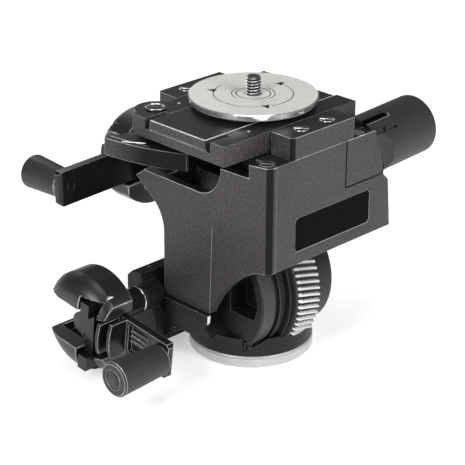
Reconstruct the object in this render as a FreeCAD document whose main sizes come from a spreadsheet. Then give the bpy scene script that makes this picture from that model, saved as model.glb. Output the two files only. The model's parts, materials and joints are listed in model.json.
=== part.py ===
import FreeCAD, Part
import math
import os
import Sketcher

# Geared tripod head. Millimetres. +Z is up, the base stands on Z = 0 round the pan axis,
# +X runs along the tilt drum and the camera slide, and -Y is the side with the label recess.

Vector = FreeCAD.Vector
Turn = FreeCAD.Rotation
AXIS_X, AXIS_Y, AXIS_Z = Vector(1, 0, 0), Vector(0, 1, 0), Vector(0, 0, 1)

document = FreeCAD.newDocument("geared_head")
sizes = document.addObject("Spreadsheet::Sheet", "sizes")

DRIVING_SIZES = {
    # clearances
    "run_gap": 0.06, "seat_gap": 0.02, "side_gap": 0.3,
    # base and pan gear
    "base_radius": 40, "base_height": 8, "lip_depth": 0.5, "lip_height": 0.6, "step_radius": 34,
    "step_height": 5.2, "spindle_radius": 8, "tripod_hole_radius": 3.97, "tripod_hole_depth": 12,
    "pan_pitch_radius": 36.6, "pan_teeth": 60, "pan_gear_width": 4, "retainer_radius": 12,
    "retainer_height": 3,
    # turret
    "skirt_wall": 1.5, "skirt_roof": 2.2, "housing_bottom": 5.5,
    "housing_inner": 30, "housing_outer": 56, "housing_back": 14,
    "housing_front": -56, "housing_bevel": 4, "housing_slope": 14,
    "bracket_front": -48, "bracket_plate": 2.9, "bracket_top": 36.4, "bracket_nose": -9,
    "bracket_foot": 18.8, "nose_radius": 16,
    # tilt drum and its gear
    "tilt_height": 46, "drum_radius": 41, "drum_front": -31, "drum_back": 32, "axle_radius": 6,
    "gear_front": -9, "gear_back": 10, "tilt_pitch_radius": 49.3, "tilt_teeth": 72,
    "tooth_rise": 1.1, "tooth_drop": 1.2, "recess_depth": 14,
    "sector_start": 35, "sector_end": 214,
    # worms
    "pan_worm_radius": 5.1, "side_worm_radius": 6.4, "worm_rise": 0.8,
    "pan_worm_drop": 1.1, "side_worm_drop": 1.4,
    "worm_turns": 3, "worm_overhang": 13, "pan_shaft_radius": 3.2,
    # gear train between the pan crank and the pan worm
    "pan_crank_side": 40.2, "pan_crank_height": 36, "train_teeth": 16, "train_rise": 0.5,
    "train_drop": 0.75, "train_width": 5, "train_cover": 2.2, "cover_margin": 1.7,
    "idler_pin_radius": 2.2,
    # crank units
    "pan_crank_reach": 59, "side_crank_reach": 60, "pan_rest_turn": 6.5, "side_rest_turn": 1.5,
    "shaft_radius": 4, "shaft_reach": 15.5, "bush_flange_radius": 8.4, "bush_flange": 3.5,
    "pan_bush_length": 5.2, "side_bush_length": 8, "pan_boss_wall": 2.7, "side_boss_wall": 2.3,
    "hub_start": 4, "hub_radius": 8.8, "hub_end": 50, "neck_radius": 7, "neck_start": 24,
    "shell_back": 30, "shell_crease": 45.5, "shell_front": 57, "shell_radius": 32,
    "shell_nose": 16, "nose_rounding": 15.6, "shell_half_width": 24.2, "shell_rim": 13.8,
    "shell_wall": 2.5, "hinge_place": 26, "hinge_lift": 12.5, "hinge_pin_radius": 1.6,
    "lug_width": 12, "lug_half_length": 3.5, "ear_thickness": 3,
    "latch_left": 5.8, "latch_right": 13, "latch_front": 56, "latch_upper": 11,
    "latch_lower": -26.7, "latch_height": 9.4, "latch_gap": 1.3,
    "arm_back": 32.5, "arm_front": 38, "arm_half": 11.8, "arm_wall": 2.2,
    "arm_pocket": 3.3, "arm_rounding": 2.8, "pan_arm_end": 66, "side_arm_end": 79,
    "pan_grip_reach": 60, "side_grip_reach": 70, "pan_grip_length": 37.4,
    "side_grip_length": 32.4, "grip_pin_radius": 2, "grip_root_radius": 9.6,
    "grip_end_radius": 11.2, "grip_disc_radius": 5.6,
    # tilting body
    "cheek_front": -44.6, "cheek_thickness": 6, "corner_radius": 4, "label_face": -58,
    "far_face": 58, "inner_half_width": 40.6, "wall_back": 62, "rear_inner": 57, "rear_cheek_front": 35, "rear_cheek_thickness": 6,
    "recess_floor": 1, "label_gap": 0.4, "label_left": -22.3, "label_right": 45,
    "cover_left": 21.5, "cover_depth": 9, "cap_front": -26, "cap_back": 28, "cap_corner": 3,
    "screw_head_radius": 4.4, "screw_head": 2.7, "screw_shank_radius": 2.2, "screw_length": 24,
    "screw_slot": 1.1, "screw_row": 49.3, "screw_front": -9.8, "screw_back": 12.9,
    "corner_screw_y": -50, "cover_screw_x": 37, "tube_radius": 19.1, "tube_incline": 2.6,
    "tube_end": 103, "tube_offset": 44, "tube_bore": 16, "mouth_depth": 12,
    "side_block_half": 9, "swing_radius": 61.5, "relief_half": 26,
    # platform
    "pivot_x": 1.5, "pivot_rise": 100, "trunnion_radius": 7, "trunnion_end": 55,
    "platform_half_width": 39.5, "platform_front": -64, "platform_back": 50,
    "channel_half_width": 24.8,
    "front_gear_radius": 12, "front_tilt_teeth": 36, "front_worm_pitch_radius": 3.5,
    "front_tooth_rise": 0.5, "front_gear_width": 5, "front_worm_turns": 5,
    "front_shaft_radius": 2.7, "ear_reach": 12.5, "lever_x": -47.8,
    "lever_y": 36.3, "lever_boss_radius": 13, "lever_stem_radius": 5,
    # camera plate, disc and screw
    "plate_half_width": 23.6, "dovetail": 0.9, "disc_radius": 40,
    "disc_thickness": 4.2, "neck_pad_radius": 22, "camera_thread_radius": 4.76,
    "camera_shank_radius": 5.4, "screw_pad_radius": 8.5,
}

# heights that follow the lateral tilt's axle and the front tilt's pivot
FOLLOWING_SIZES = {
    "pivot_height": "tilt_height + pivot_rise", "wall_bottom": "tilt_height + 34",
    "housing_top": "tilt_height + 4", "housing_shoulder": "tilt_height - 22",
    "side_block_top": "tilt_height + 65",
    "wall_top": "pivot_height + 2", "shelf_height": "pivot_height - 29",
    "front_worm_height": "pivot_height - front_gear_radius - front_worm_pitch_radius",
    "platform_bottom": "pivot_height + 3.5", "channel_floor": "pivot_height + 9",
    "cap_top": "pivot_height + 16", "disc_bottom": "pivot_height + 19",
    "disc_top": "pivot_height + 19 + disc_thickness",
    "camera_screw_top": "pivot_height + 34.5", "label_bottom": "wall_bottom + 8",
    "label_top": "pivot_height - 35.8",
}

CELLS = dict(DRIVING_SIZES)
for alias, rule in FOLLOWING_SIZES.items():
    CELLS[alias] = "=" + rule
for row, (alias, content) in enumerate(CELLS.items(), start=1):
    sizes.set("A%d" % row, alias)
    sizes.setAlias("B%d" % row, alias)
for row, content in enumerate(CELLS.values(), start=1):
    sizes.set("B%d" % row, str(content))
document.recompute()


def link(expression):
    """Names the sheet in front of every size that the expression uses."""
    words = []
    word = ""
    for letter in expression + " ":
        if letter.isalnum() or letter == "_":
            word += letter
            continue
        words.append("sizes." + word if word in CELLS else word)
        words.append(letter)
        word = ""
    return "".join(words).strip()


def size(expression):
    return float(sizes.evalExpression(link(expression)))


def new_body(label):
    body = document.addObject("PartDesign::Body", label)
    body.Label = label
    return body


def new_sketch(body, role, start):
    """A sketch on an origin plane, moved along the plane's own axis to where the piece starts."""
    sketch = body.newObject("Sketcher::SketchObject", body.Label + "_sketch")
    origin_plane = [item for item in body.Origin.OriginFeatures if item.Role == role][0]
    sketch.AttachmentSupport = [(origin_plane, "")]
    sketch.MapMode = "FlatFace"
    sketch.setExpression("AttachmentOffset.Base.z", link(start))
    return sketch


def pin_down(sketch, geometry, corner, place):
    """Ties one point of the sketch to the sheet; a plain zero ties it to the axis."""
    for kind, axis_line, expression in (("DistanceX", -2, place[0]), ("DistanceY", -1, place[1])):
        if expression == "0":
            sketch.addConstraint(Sketcher.Constraint("PointOnObject", geometry, corner, axis_line))
            continue
        rule = Sketcher.Constraint(kind, -1, 1, geometry, corner, size(expression))
        index = sketch.addConstraint(rule)
        sketch.setExpression("Constraints[%d]" % index, link(expression))


def outline(body, role, start, corners, arcs=None):
    """A closed outline. arcs gives, for a side's number, its radius and which way it bulges."""
    arcs = arcs or {}
    sketch = new_sketch(body, role, start)
    points = [Vector(size(across), size(up), 0) for across, up in corners]
    for number, point in enumerate(points):
        after = points[(number + 1) % len(points)]
        if number in arcs:
            radius, side = size(arcs[number][0]), arcs[number][1]
            middle = (point + after) * 0.5
            chord = after - point
            rise = math.sqrt(max(radius ** 2 - (chord.Length / 2) ** 2, 0))
            sideways = Vector(-chord.y, chord.x, 0).normalize()
            centre = middle - sideways * rise * side
            crown = centre + sideways * radius * side
            sketch.addGeometry(Part.Arc(point, crown, after), False)
        else:
            sketch.addGeometry(Part.LineSegment(point, after), False)
    ends = []
    for number, point in enumerate(points):
        forward = sketch.getPoint(number, 1).distanceToPoint(point) < 1e-6
        ends.append((1, 2) if forward else (2, 1))
    for number in range(len(points)):
        after = (number + 1) % len(points)
        rule = Sketcher.Constraint("Coincident", number, ends[number][1], after, ends[after][0])
        sketch.addConstraint(rule)
    for number, corner in enumerate(corners):
        pin_down(sketch, number, ends[number][0], corner)
    for number, (radius, side) in arcs.items():
        index = sketch.addConstraint(Sketcher.Constraint("Radius", number, size(radius)))
        sketch.setExpression("Constraints[%d]" % index, link(radius))
    return sketch


def ring(body, role, start, centre, radii):
    """Circles about one centre: one radius gives a disc, two give a ring."""
    sketch = new_sketch(body, role, start)
    middle = Vector(size(centre[0]), size(centre[1]), 0)
    for number, radius in enumerate(radii):
        sketch.addGeometry(Part.Circle(middle, AXIS_Z, size(radius)), False)
        pin_down(sketch, number, 3, centre)
        index = sketch.addConstraint(Sketcher.Constraint("Radius", number, size(radius)))
        sketch.setExpression("Constraints[%d]" % index, link(radius))
    return sketch


def finish_feature(body, kind, sketch, length, reverse):
    document.recompute()
    before = body.Shape.Volume if body.Tip else 0
    feature = body.newObject("PartDesign::" + kind, body.Label + "_" + kind.lower())
    feature.Profile = sketch
    if length:
        feature.setExpression("Length", link(length))
        feature.Reversed = reverse
    else:
        feature.ReferenceAxis = (sketch, ["H_Axis"])
        feature.Angle = 360
    document.recompute()
    body.Tip = feature
    grows = kind in ("Pad", "Revolution")
    change = body.Shape.Volume - before
    if (change > 0) != grows:
        raise RuntimeError("%s of %s changed the volume by %.3f" % (kind, body.Label, change))
    return feature


def span(role, low, high):
    """Where an extrusion starts and how long it is; the XZ plane faces -Y."""
    start = "-(%s)" % high if role == "XZ_Plane" else low
    return start, "(%s) - (%s)" % (high, low)


def pad(body, role, low, high, corners, arcs=None):
    start, length = span(role, low, high)
    return finish_feature(body, "Pad", outline(body, role, start, corners, arcs), length, False)


def pocket(body, role, low, high, corners, arcs=None):
    start, length = span(role, low, high)
    return finish_feature(body, "Pocket", outline(body, role, start, corners, arcs), length, True)


def round_pad(body, role, low, high, centre, *radii):
    start, length = span(role, low, high)
    return finish_feature(body, "Pad", ring(body, role, start, centre, radii), length, False)


def bore(body, role, low, high, centre, *radii):
    start, length = span(role, low, high)
    return finish_feature(body, "Pocket", ring(body, role, start, centre, radii), length, True)


def turned(body, role, corners, groove=False, arcs=None):
    """Turns an outline about the sketch's horizontal axis."""
    kind = "Groove" if groove else "Revolution"
    return finish_feature(body, kind, outline(body, role, "0", corners, arcs), None, False)


def box_corners(left, right, low, high):
    return [(left, low), (right, low), (right, high), (left, high)]


def round_edges(body, radius, wanted):
    """Rounds the edges whose middle point passes the test."""
    names = []
    for number, edge in enumerate(body.Shape.Edges, start=1):
        middle = edge.valueAt((edge.FirstParameter + edge.LastParameter) / 2)
        if wanted(edge, middle):
            names.append("Edge%d" % number)
    rounded = body.Tip
    feature = body.newObject("PartDesign::Fillet", body.Label + "_fillet")
    feature.Base = (rounded, names)
    feature.setExpression("Radius", link(radius))
    body.Tip = feature
    document.recompute()


def upright(edge, middle):
    return abs(edge.tangentAt(edge.FirstParameter).z) > 0.99 and edge.Curve.TypeId == "Part::GeomLine"


def place(piece, base, rotation):
    piece.Placement = FreeCAD.Placement(base, rotation)


def drill(shape, start, direction, radius, length):
    return shape.cut(Part.makeCylinder(radius, length, start, direction))


def wrapped(label, body, change):
    """Ends a body's history with one cut or joint that follows a slanted axis."""
    document.recompute()
    feature = document.addObject("Part::Feature", label)
    feature.Shape = change(body.Shape).removeSplitter()
    body.Label = label + "_blank"
    feature.Label = label
    feature.Placement = FreeCAD.Placement()
    return feature


# ---------------------------------------------------------------- teeth and threads

def gear_shape(teeth, pitch_radius, rise, drop, bore_radius, width, first=0, last=360):
    """Straight teeth about the Z axis, a tooth space at the angle zero, as wide as width."""
    step = 360 / teeth
    count = round((last - first) / step)
    whole = count >= teeth
    tooth = (0.0, 0.20, 0.40, 0.60, 0.80)
    heights = (-drop, -drop, rise, rise, -drop)
    rim = []
    for number in range(min(count, teeth)):
        for share, height in zip(tooth, heights):
            angle = math.radians(first + (number + share) * step)
            radius = pitch_radius + height
            rim.append(Vector(radius * math.cos(angle), radius * math.sin(angle), 0))
    if whole:
        face = Part.Face(Part.makePolygon(rim + rim[:1]))
        blank = face.extrude(Vector(0, 0, width))
        return drill(blank, Vector(0, 0, -1), AXIS_Z, bore_radius, width + 2)
    ends = [math.radians(first), math.radians(last)]
    inner = [Vector(bore_radius * math.cos(a), bore_radius * math.sin(a), 0) for a in ends]
    half = (ends[0] + ends[1]) / 2
    crown = Vector(bore_radius * math.cos(half), bore_radius * math.sin(half), 0)
    edges = [Part.LineSegment(a, b).toShape() for a, b in zip(rim, rim[1:])]
    edges.append(Part.LineSegment(rim[-1], inner[1]).toShape())
    edges.append(Part.Arc(inner[1], crown, inner[0]).toShape())
    edges.append(Part.LineSegment(inner[0], rim[0]).toShape())
    return Part.Face(Part.Wire(edges)).extrude(Vector(0, 0, width))


def worm_shape(pitch, pitch_radius, rise, drop, turns, core, start, end, mesh_angle):
    """A right-handed worm on the X axis, meshing at X = 0 on the side that mesh_angle names."""
    root = pitch_radius - drop
    height = turns * pitch
    helix = Part.makeHelix(pitch, height, root)
    half_root, half_tip, sunk = pitch * 0.19, pitch * 0.11, 0.35 * drop
    section = [Vector(root - sunk, 0, -half_root), Vector(pitch_radius + rise, 0, -half_tip),
               Vector(pitch_radius + rise, 0, half_tip), Vector(root - sunk, 0, half_root)]
    wire = Part.makePolygon(section + section[:1])
    thread = Part.Wire(helix).makePipeShell([wire], True, True)
    # the helix starts on the local X axis; with whole turns it is there again every pitch
    thread.translate(Vector(0, 0, -height / 2 if turns % 2 == 0 else -height / 2 + pitch / 2))
    thread.rotate(Vector(), AXIS_Z, mesh_angle)
    body = Part.makeCylinder(root, height + 2 * pitch, Vector(0, 0, -height / 2 - pitch))
    ends = Part.makeCylinder(core, end - start, Vector(0, 0, start))
    shape = body.fuse(ends).fuse(thread)
    shape.rotate(Vector(), AXIS_Y, 90)
    return shape


def feature(label, shape, placement=FreeCAD.Placement()):
    item = document.addObject("Part::Feature", label)
    item.Shape = shape
    item.Label = label
    item.Placement = placement.multiply(shape.Placement)
    return item


# ---------------------------------------------------------------- base

GEAR_SEAT = "base_height + step_height"
PAN_WORM_Y = "pan_pitch_radius + pan_worm_radius"
PAN_MESH_Z = "base_height + step_height + pan_gear_width / 2"
CAVITY_RADIUS = "pan_pitch_radius + worm_rise + 0.5"
CAVITY_TOP = "base_height + step_height + pan_gear_width + 0.5"
SKIRT_TOP = "base_height + step_height + pan_gear_width + 0.5 + skirt_roof"
SKIRT_RADIUS = "pan_pitch_radius + worm_rise + 0.5 + skirt_wall"

# the profile is turned about the sketch's horizontal axis, then stood up along Z
base_plate = new_body("base_plate")
turned(base_plate, "XY_Plane", [
    ("0", "tripod_hole_radius"), ("0", "base_radius - 1"), ("1", "base_radius"),
    ("base_height - 2 * lip_height - 0.4", "base_radius"),
    ("base_height - 2 * lip_height - 0.4", "base_radius - lip_depth"),
    ("base_height - lip_height - 0.4", "base_radius - lip_depth"),
    ("base_height - lip_height - 0.4", "base_radius"), ("base_height - 0.4", "base_radius"),
    ("base_height", "base_radius - 0.4"), ("base_height", "step_radius"),
    (GEAR_SEAT, "step_radius"), (GEAR_SEAT, "spindle_radius"),
    (SKIRT_TOP + " + side_gap", "spindle_radius"), (SKIRT_TOP + " + side_gap", "0"),
    ("tripod_hole_depth", "0"), ("tripod_hole_depth", "tripod_hole_radius")])
place(base_plate, Vector(), Turn(AXIS_Y, -90))

pan_gear = feature("pan_gear", gear_shape(
    int(size("pan_teeth")), size("pan_pitch_radius"), size("worm_rise"), size("worm_rise + 0.3"),
    size("spindle_radius + seat_gap"), size("pan_gear_width")),
    FreeCAD.Placement(Vector(0, 0, size(GEAR_SEAT)), Turn(AXIS_Z, 90)))

spindle_cap = new_body("spindle_cap")
round_pad(spindle_cap, "XY_Plane", SKIRT_TOP + " + side_gap",
          SKIRT_TOP + " + side_gap + retainer_height", ("0", "0"), "retainer_radius")
round_edges(spindle_cap, "0.6", lambda edge, middle: middle.z > size(SKIRT_TOP + " + retainer_height"))


# ---------------------------------------------------------------- crank axes

PAN_TURN = Turn(AXIS_Z, 180)
SIDE_TURN = Turn(AXIS_Z, 90)
PAN_MESH = Vector(0, size(PAN_WORM_Y), size(PAN_MESH_Z))
SIDE_WORM_Z = "tilt_height + tilt_pitch_radius + side_worm_radius"
SIDE_MESH = Vector(0, 0, size(SIDE_WORM_Z))
PAN_ORIGIN = Vector(-size("pan_crank_reach"), size("pan_crank_side"), size("pan_crank_height"))
SIDE_ORIGIN = SIDE_MESH + AXIS_Y * size("side_crank_reach")
PAN_BORE = "pan_worm_radius + worm_rise + 0.4"
SIDE_BORE = "side_worm_radius + worm_rise + 0.4"

# the train: a pinion on the worm's shaft, an idler and a pinion on the crank's shaft
TRAIN_FRONT = size("housing_front + train_cover")
TRAIN_BACK = TRAIN_FRONT + size("train_width + 2 * side_gap + 0.5")
PINION_START = TRAIN_FRONT + size("side_gap")
CRANK_AXIS = Vector(0, size("pan_crank_side"), size("pan_crank_height"))
IDLER_AXIS = (PAN_MESH + CRANK_AXIS) * 0.5
TRAIN_RADIUS = (CRANK_AXIS - PAN_MESH).Length / 4
TRAIN_LEAN = math.degrees(math.atan2(PAN_MESH.y - CRANK_AXIS.y, CRANK_AXIS.z - PAN_MESH.z))
HALF_TOOTH = size("180 / train_teeth")


def train_gear(bore_radius, axis, turn):
    """One gear of the train in its place, turned so that it meshes with the next."""
    shape = gear_shape(int(size("train_teeth")), TRAIN_RADIUS, size("train_rise"),
                       size("train_drop"), bore_radius, size("train_width"))
    shape.rotate(Vector(), AXIS_Y, 90)
    shape.rotate(Vector(), AXIS_X, TRAIN_LEAN + turn)
    shape.translate(Vector(PINION_START, axis.y, axis.z))
    return shape


def train_bar(radius, start, end):
    """A rounded bar from the worm's shaft up to the idler."""
    bar = Part.makeBox(end - start, 2 * radius, 2 * TRAIN_RADIUS, Vector(start, -radius, 0))
    bar.rotate(Vector(), AXIS_X, TRAIN_LEAN)
    bar.translate(PAN_MESH)
    for axis in (PAN_MESH, IDLER_AXIS):
        bar = bar.fuse(Part.makeCylinder(radius, end - start, Vector(start, axis.y, axis.z), AXIS_X))
    return bar


# ---------------------------------------------------------------- turret

turret_blank = new_body("turret_housing")
round_pad(turret_blank, "XY_Plane", "base_height + side_gap", SKIRT_TOP, ("0", "0"), SKIRT_RADIUS)
pad(turret_blank, "YZ_Plane", "housing_front", "housing_back", [
    ("housing_inner", "housing_bottom"), ("housing_outer", "housing_bottom"),
    ("housing_outer", "housing_top - housing_bevel"),
    ("housing_outer - housing_bevel", "housing_top"),
    ("housing_inner + housing_slope", "housing_top"), ("housing_inner", "housing_shoulder")])
bore(turret_blank, "XY_Plane", "base_height + side_gap", CAVITY_TOP, ("0", "0"), CAVITY_RADIUS)
bore(turret_blank, "XY_Plane", CAVITY_TOP, SKIRT_TOP, ("0", "0"), "spindle_radius + run_gap")
bore(turret_blank, "XY_Plane", "0", "base_height + side_gap", ("0", "0"), "base_radius + 0.5")
bore(turret_blank, "YZ_Plane", "drum_front - side_gap", "housing_back", ("0", "tilt_height"),
     "drum_radius + 1.6")
bore(turret_blank, "YZ_Plane", "gear_front - 3", "housing_back", ("0", "tilt_height"),
     "drum_radius + 5.2")


BOSS_RADIUS = size(PAN_BORE + " + pan_boss_wall")
BOSS_LENGTH = size("pan_crank_reach + cheek_front - 1.2")
COVER_RADIUS = size(PAN_BORE + " + cover_margin")
boss_start = Vector(-size("pan_crank_reach"), CRANK_AXIS.y, CRANK_AXIS.z)


def open_gear_ways(shape):
    """Bores for the worm and the crank's shaft, joined by the train's chamber."""
    shape = shape.cut(train_bar(COVER_RADIUS, TRAIN_FRONT - 10, TRAIN_FRONT))
    shape = shape.fuse(Part.makeCylinder(BOSS_RADIUS, BOSS_LENGTH, boss_start, AXIS_X))
    shape = shape.cut(train_bar(size(PAN_BORE), TRAIN_FRONT, TRAIN_BACK))
    worm_start = Vector(TRAIN_FRONT, PAN_MESH.y, PAN_MESH.z)
    shape = drill(shape, worm_start, AXIS_X, size(PAN_BORE), 90)
    shape = drill(shape, boss_start - AXIS_X, AXIS_X, size(PAN_BORE), TRAIN_BACK - boss_start.x + 1)
    pin_way = Vector(TRAIN_FRONT - 1.2, IDLER_AXIS.y, IDLER_AXIS.z)
    return drill(shape, pin_way, AXIS_X, size("idler_pin_radius + seat_gap"),
                 TRAIN_BACK - TRAIN_FRONT + 2.7)


turret_housing = wrapped("turret_housing", turret_blank, open_gear_ways)

cover_shape = train_bar(COVER_RADIUS - size("seat_gap"), size("housing_front"), TRAIN_FRONT)
cover_shape = drill(cover_shape, boss_start, AXIS_X, BOSS_RADIUS + size("seat_gap"), 20)
pin_seat = Vector(TRAIN_FRONT - 1.2, IDLER_AXIS.y, IDLER_AXIS.z)
cover_shape = drill(cover_shape, pin_seat, AXIS_X, size("idler_pin_radius + seat_gap"), 3)
train_cover = feature("train_cover", cover_shape)

idler_pin = new_body("idler_pin")
round_pad(idler_pin, "YZ_Plane", "housing_front + train_cover - 1.1",
          "housing_front + train_cover + train_width + 2 * side_gap + 1.9", ("0", "0"),
          "idler_pin_radius")
place(idler_pin, IDLER_AXIS, Turn())
pan_idler = feature("pan_idler", train_gear(
    size("idler_pin_radius + run_gap"), IDLER_AXIS, HALF_TOOTH))

worm_bush = new_body("pan_worm_bush")
round_pad(worm_bush, "YZ_Plane", "housing_front + train_cover + train_width + 2 * side_gap + 0.7",
          "housing_front + train_cover + train_width + 9", ("0", "0"), PAN_BORE + " - seat_gap",
          "pan_shaft_radius + run_gap")
place(worm_bush, PAN_MESH, Turn())

pan_bracket = new_body("pan_bracket")
pad(pan_bracket, "YZ_Plane", "bracket_front", "bracket_front + bracket_plate", [
    ("housing_inner", "base_height + side_gap"), ("housing_inner", "bracket_top"),
    ("bracket_nose", "bracket_top"), ("bracket_nose", "bracket_foot + nose_radius"),
    ("bracket_nose + nose_radius", "bracket_foot"), ("housing_inner / 2", "bracket_foot")],
    {3: ("nose_radius", -1)})
pad(pan_bracket, "YZ_Plane", "bracket_front + bracket_plate", "drum_front", [
    ("bracket_nose", SKIRT_TOP), ("housing_inner - 4", SKIRT_TOP), ("5.5", "bracket_top - 5"),
    ("-3.5", "bracket_top - 10.5")])
bore(pan_bracket, "YZ_Plane", "bracket_front", "bracket_front + 1.2", ("22", "17"), "2.2")

bracket_screw = new_body("bracket_screw")
round_pad(bracket_screw, "YZ_Plane", "bracket_front - 0.3", "bracket_front + 1.2", ("22", "17"), "2.1")
pocket(bracket_screw, "YZ_Plane", "bracket_front - 0.3", "bracket_front + 0.3",
       box_corners("19", "25", "16.7", "17.3"))

tilt_drum = new_body("tilt_drum")
turned(tilt_drum, "XY_Plane", [
    ("drum_front", "axle_radius + seat_gap"), ("drum_front", "drum_radius - 0.8"),
    ("drum_front + 0.8", "drum_radius"), ("drum_front + 11", "drum_radius"),
    ("drum_front + 11", "drum_radius - 1.5"), ("drum_front + 13.5", "drum_radius - 1.5"),
    ("drum_front + 13.5", "drum_radius + 1.4"), ("drum_front + 18", "drum_radius + 1.4"),
    ("drum_front + 18", "drum_radius"), ("gear_front - 2.6", "drum_radius"),
    ("gear_front - 2.6", "drum_radius + 4.6"), ("gear_front", "drum_radius + 4.6"),
    ("gear_front", "drum_radius"), ("drum_back - 0.8", "drum_radius"),
    ("drum_back", "drum_radius - 0.8"), ("drum_back", "axle_radius + seat_gap")])
place(tilt_drum, Vector(0, 0, size("tilt_height")), Turn())
pocket(tilt_drum, "YZ_Plane", "drum_front - 1", "drum_back + 1", box_corners(
    "-drum_radius - 9", "drum_radius + 9", "-drum_radius - 9", SKIRT_TOP + " - tilt_height"))
bore(tilt_drum, "XY_Plane", SKIRT_TOP + " - tilt_height",
     SKIRT_TOP + " + side_gap + retainer_height + 0.5 - tilt_height", ("0", "0"),
     "retainer_radius + 0.6")
pocket(tilt_drum, "YZ_Plane", "drum_front", "drum_front + recess_depth", [
    ("-drum_radius * 0.3", "-drum_radius * 0.24"), ("-drum_radius * 0.8", "-drum_radius * 0.24"),
    ("-drum_radius * 0.87", "0"), ("-drum_radius * 0.76", "drum_radius * 0.42"),
    ("-drum_radius * 0.3", "drum_radius * 0.8")], {3: ("drum_radius * 0.87", -1)})

sector = gear_shape(
    int(size("tilt_teeth")), size("tilt_pitch_radius"), size("tooth_rise"), size("tooth_drop"),
    size("drum_radius + seat_gap"), size("gear_back - gear_front"), size("sector_start"),
    size("sector_start") + 5 * round(size("(sector_end - sector_start) / 5")))
sector.rotate(Vector(), AXIS_Z, size("-sector_start") % (360 / size("tilt_teeth")))
sector.rotate(Vector(), AXIS_X, 90)
sector.rotate(Vector(), AXIS_Z, 90)
sector.translate(Vector(size("gear_front"), 0, size("tilt_height")))
floor = size(SKIRT_TOP + " + side_gap")
reach = size("pivot_height")
below = Part.makeBox(2 * reach, 2 * reach, reach, Vector(-reach, -reach, floor - reach))
sector = sector.cut(below)
drum_gear = feature("drum_gear", sector)

tilt_axle = new_body("tilt_axle")
round_pad(tilt_axle, "YZ_Plane", "cheek_front + 2.2", "rear_cheek_front + rear_cheek_thickness - 2",
          ("0", "tilt_height"), "axle_radius")


# ---------------------------------------------------------------- tilting body

front_cheek = new_body("front_cheek")
pad(front_cheek, "YZ_Plane", "cheek_front", "cheek_front + cheek_thickness", [
    ("label_face", "wall_bottom"), ("label_face + 11", "wall_bottom - 2"),
    ("-7.6", "tilt_height - 9.1"), ("33.7", "tilt_height - 9.1"), ("33.7", "wall_bottom + 2"),
    ("43.1", "wall_top - 48.8"), ("58.8", "wall_top - 37.1"), ("51.2", "wall_top - 31.6"), ("1", "wall_top - 31.8"),
    ("-16.8", "wall_top - 11.2"), ("-inner_half_width", "wall_top - 10.5"),
    ("-inner_half_width", "wall_top - 2"),
    ("label_face", "wall_top")],
    {1: ("90", 1), 4: ("27", 1), 8: ("20", 1)})
bore(front_cheek, "YZ_Plane", "cheek_front + 2", "cheek_front + cheek_thickness",
     ("0", "tilt_height"), "axle_radius + run_gap")
round_edges(front_cheek, "corner_radius", lambda edge, middle: upright(edge, middle)
            and middle.y < size("label_face + 1") and middle.x < size("cheek_front + 1"))

rear_cheek = new_body("rear_cheek")
pad(rear_cheek, "YZ_Plane", "rear_cheek_front", "rear_cheek_front + rear_cheek_thickness", [
    ("-inner_half_width", "wall_bottom + 2"), ("-23", "tilt_height + 19"),
    ("-15", "tilt_height - 6"), ("-8", "tilt_height - 13"), ("8", "tilt_height - 13"),
    ("15", "tilt_height - 6"), ("23", "tilt_height + 19"),
    ("inner_half_width", "wall_bottom + 2"), ("inner_half_width", "wall_bottom + 14"),
    ("-inner_half_width", "wall_bottom + 14")])
bore(rear_cheek, "YZ_Plane", "rear_cheek_front", "rear_cheek_front + rear_cheek_thickness - 1.8",
     ("0", "tilt_height"), "axle_radius + run_gap")

SCREW_PLACES = [(column, side) for side in (-1, 1) for column in ("screw_front", "screw_back")]
GEAR_POCKET = "front_gear_radius + front_tooth_rise + 0.8"
FRONT_WORM_TURN = Turn(AXIS_Y, -size("tube_incline"))
FRONT_OUT = FRONT_WORM_TURN.multVec(AXIS_X)
FRONT_MESH = Vector(size("pivot_x"), -size("tube_offset"), size("front_worm_height"))


def cap_screw_holes(shape):
    for column, side in SCREW_PLACES:
        top = Vector(size(column), side * size("screw_row"), size("cap_top"))
        shape = drill(shape, top, -AXIS_Z, size("screw_head_radius + 0.15"), size("screw_head"))
        shape = drill(shape, top, -AXIS_Z, size("screw_shank_radius + 0.1"), size("screw_length + 0.5"))
    return shape


def corner_screw_hole(shape):
    top = Vector(size("cheek_front + 5.4"), size("corner_screw_y"), size("wall_top"))
    shape = drill(shape, top, -AXIS_Z, size("screw_head_radius + 0.15"), size("screw_head - 0.5"))
    return drill(shape, top, -AXIS_Z, size("screw_shank_radius + 0.1"), size("screw_length + 0.5"))


front_cheek_whole = wrapped("front_cheek", front_cheek, corner_screw_hole)

label_blank = new_body("label_side_housing")
pad(label_blank, "XZ_Plane", "label_face", "-inner_half_width", [
    ("cheek_front + cheek_thickness", "wall_bottom"), ("wall_back + 3", "wall_bottom"),
    ("wall_back", "shelf_height - 5"), ("rear_inner", "shelf_height"),
    ("rear_inner - 9", "wall_top"), ("cheek_front + cheek_thickness", "wall_top")])
pocket(label_blank, "XZ_Plane", "label_face", "label_face + recess_floor",
       box_corners("label_left", "label_right", "label_bottom", "label_top"))
pocket(label_blank, "XZ_Plane", "label_face", "label_face + cover_depth",
       box_corners("cover_left", "rear_inner + 1", "shelf_height", "wall_top"))
bore(label_blank, "YZ_Plane", "-relief_half", "relief_half", ("0", "tilt_height"), "swing_radius")
bore(label_blank, "XZ_Plane", "-inner_half_width - front_gear_width - 1", "-inner_half_width",
     ("pivot_x", "pivot_height"), GEAR_POCKET)
bore(label_blank, "XZ_Plane", "-trunnion_end - 0.5", "-inner_half_width",
     ("pivot_x", "pivot_height"), "trunnion_radius + run_gap")


def front_worm_way(shape):
    start = FRONT_MESH - FRONT_OUT * 11
    shape = drill(shape, start, FRONT_OUT, size("front_worm_pitch_radius + front_tooth_rise + 0.6"), 120)
    return corner_screw_hole(cap_screw_holes(shape))


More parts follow.
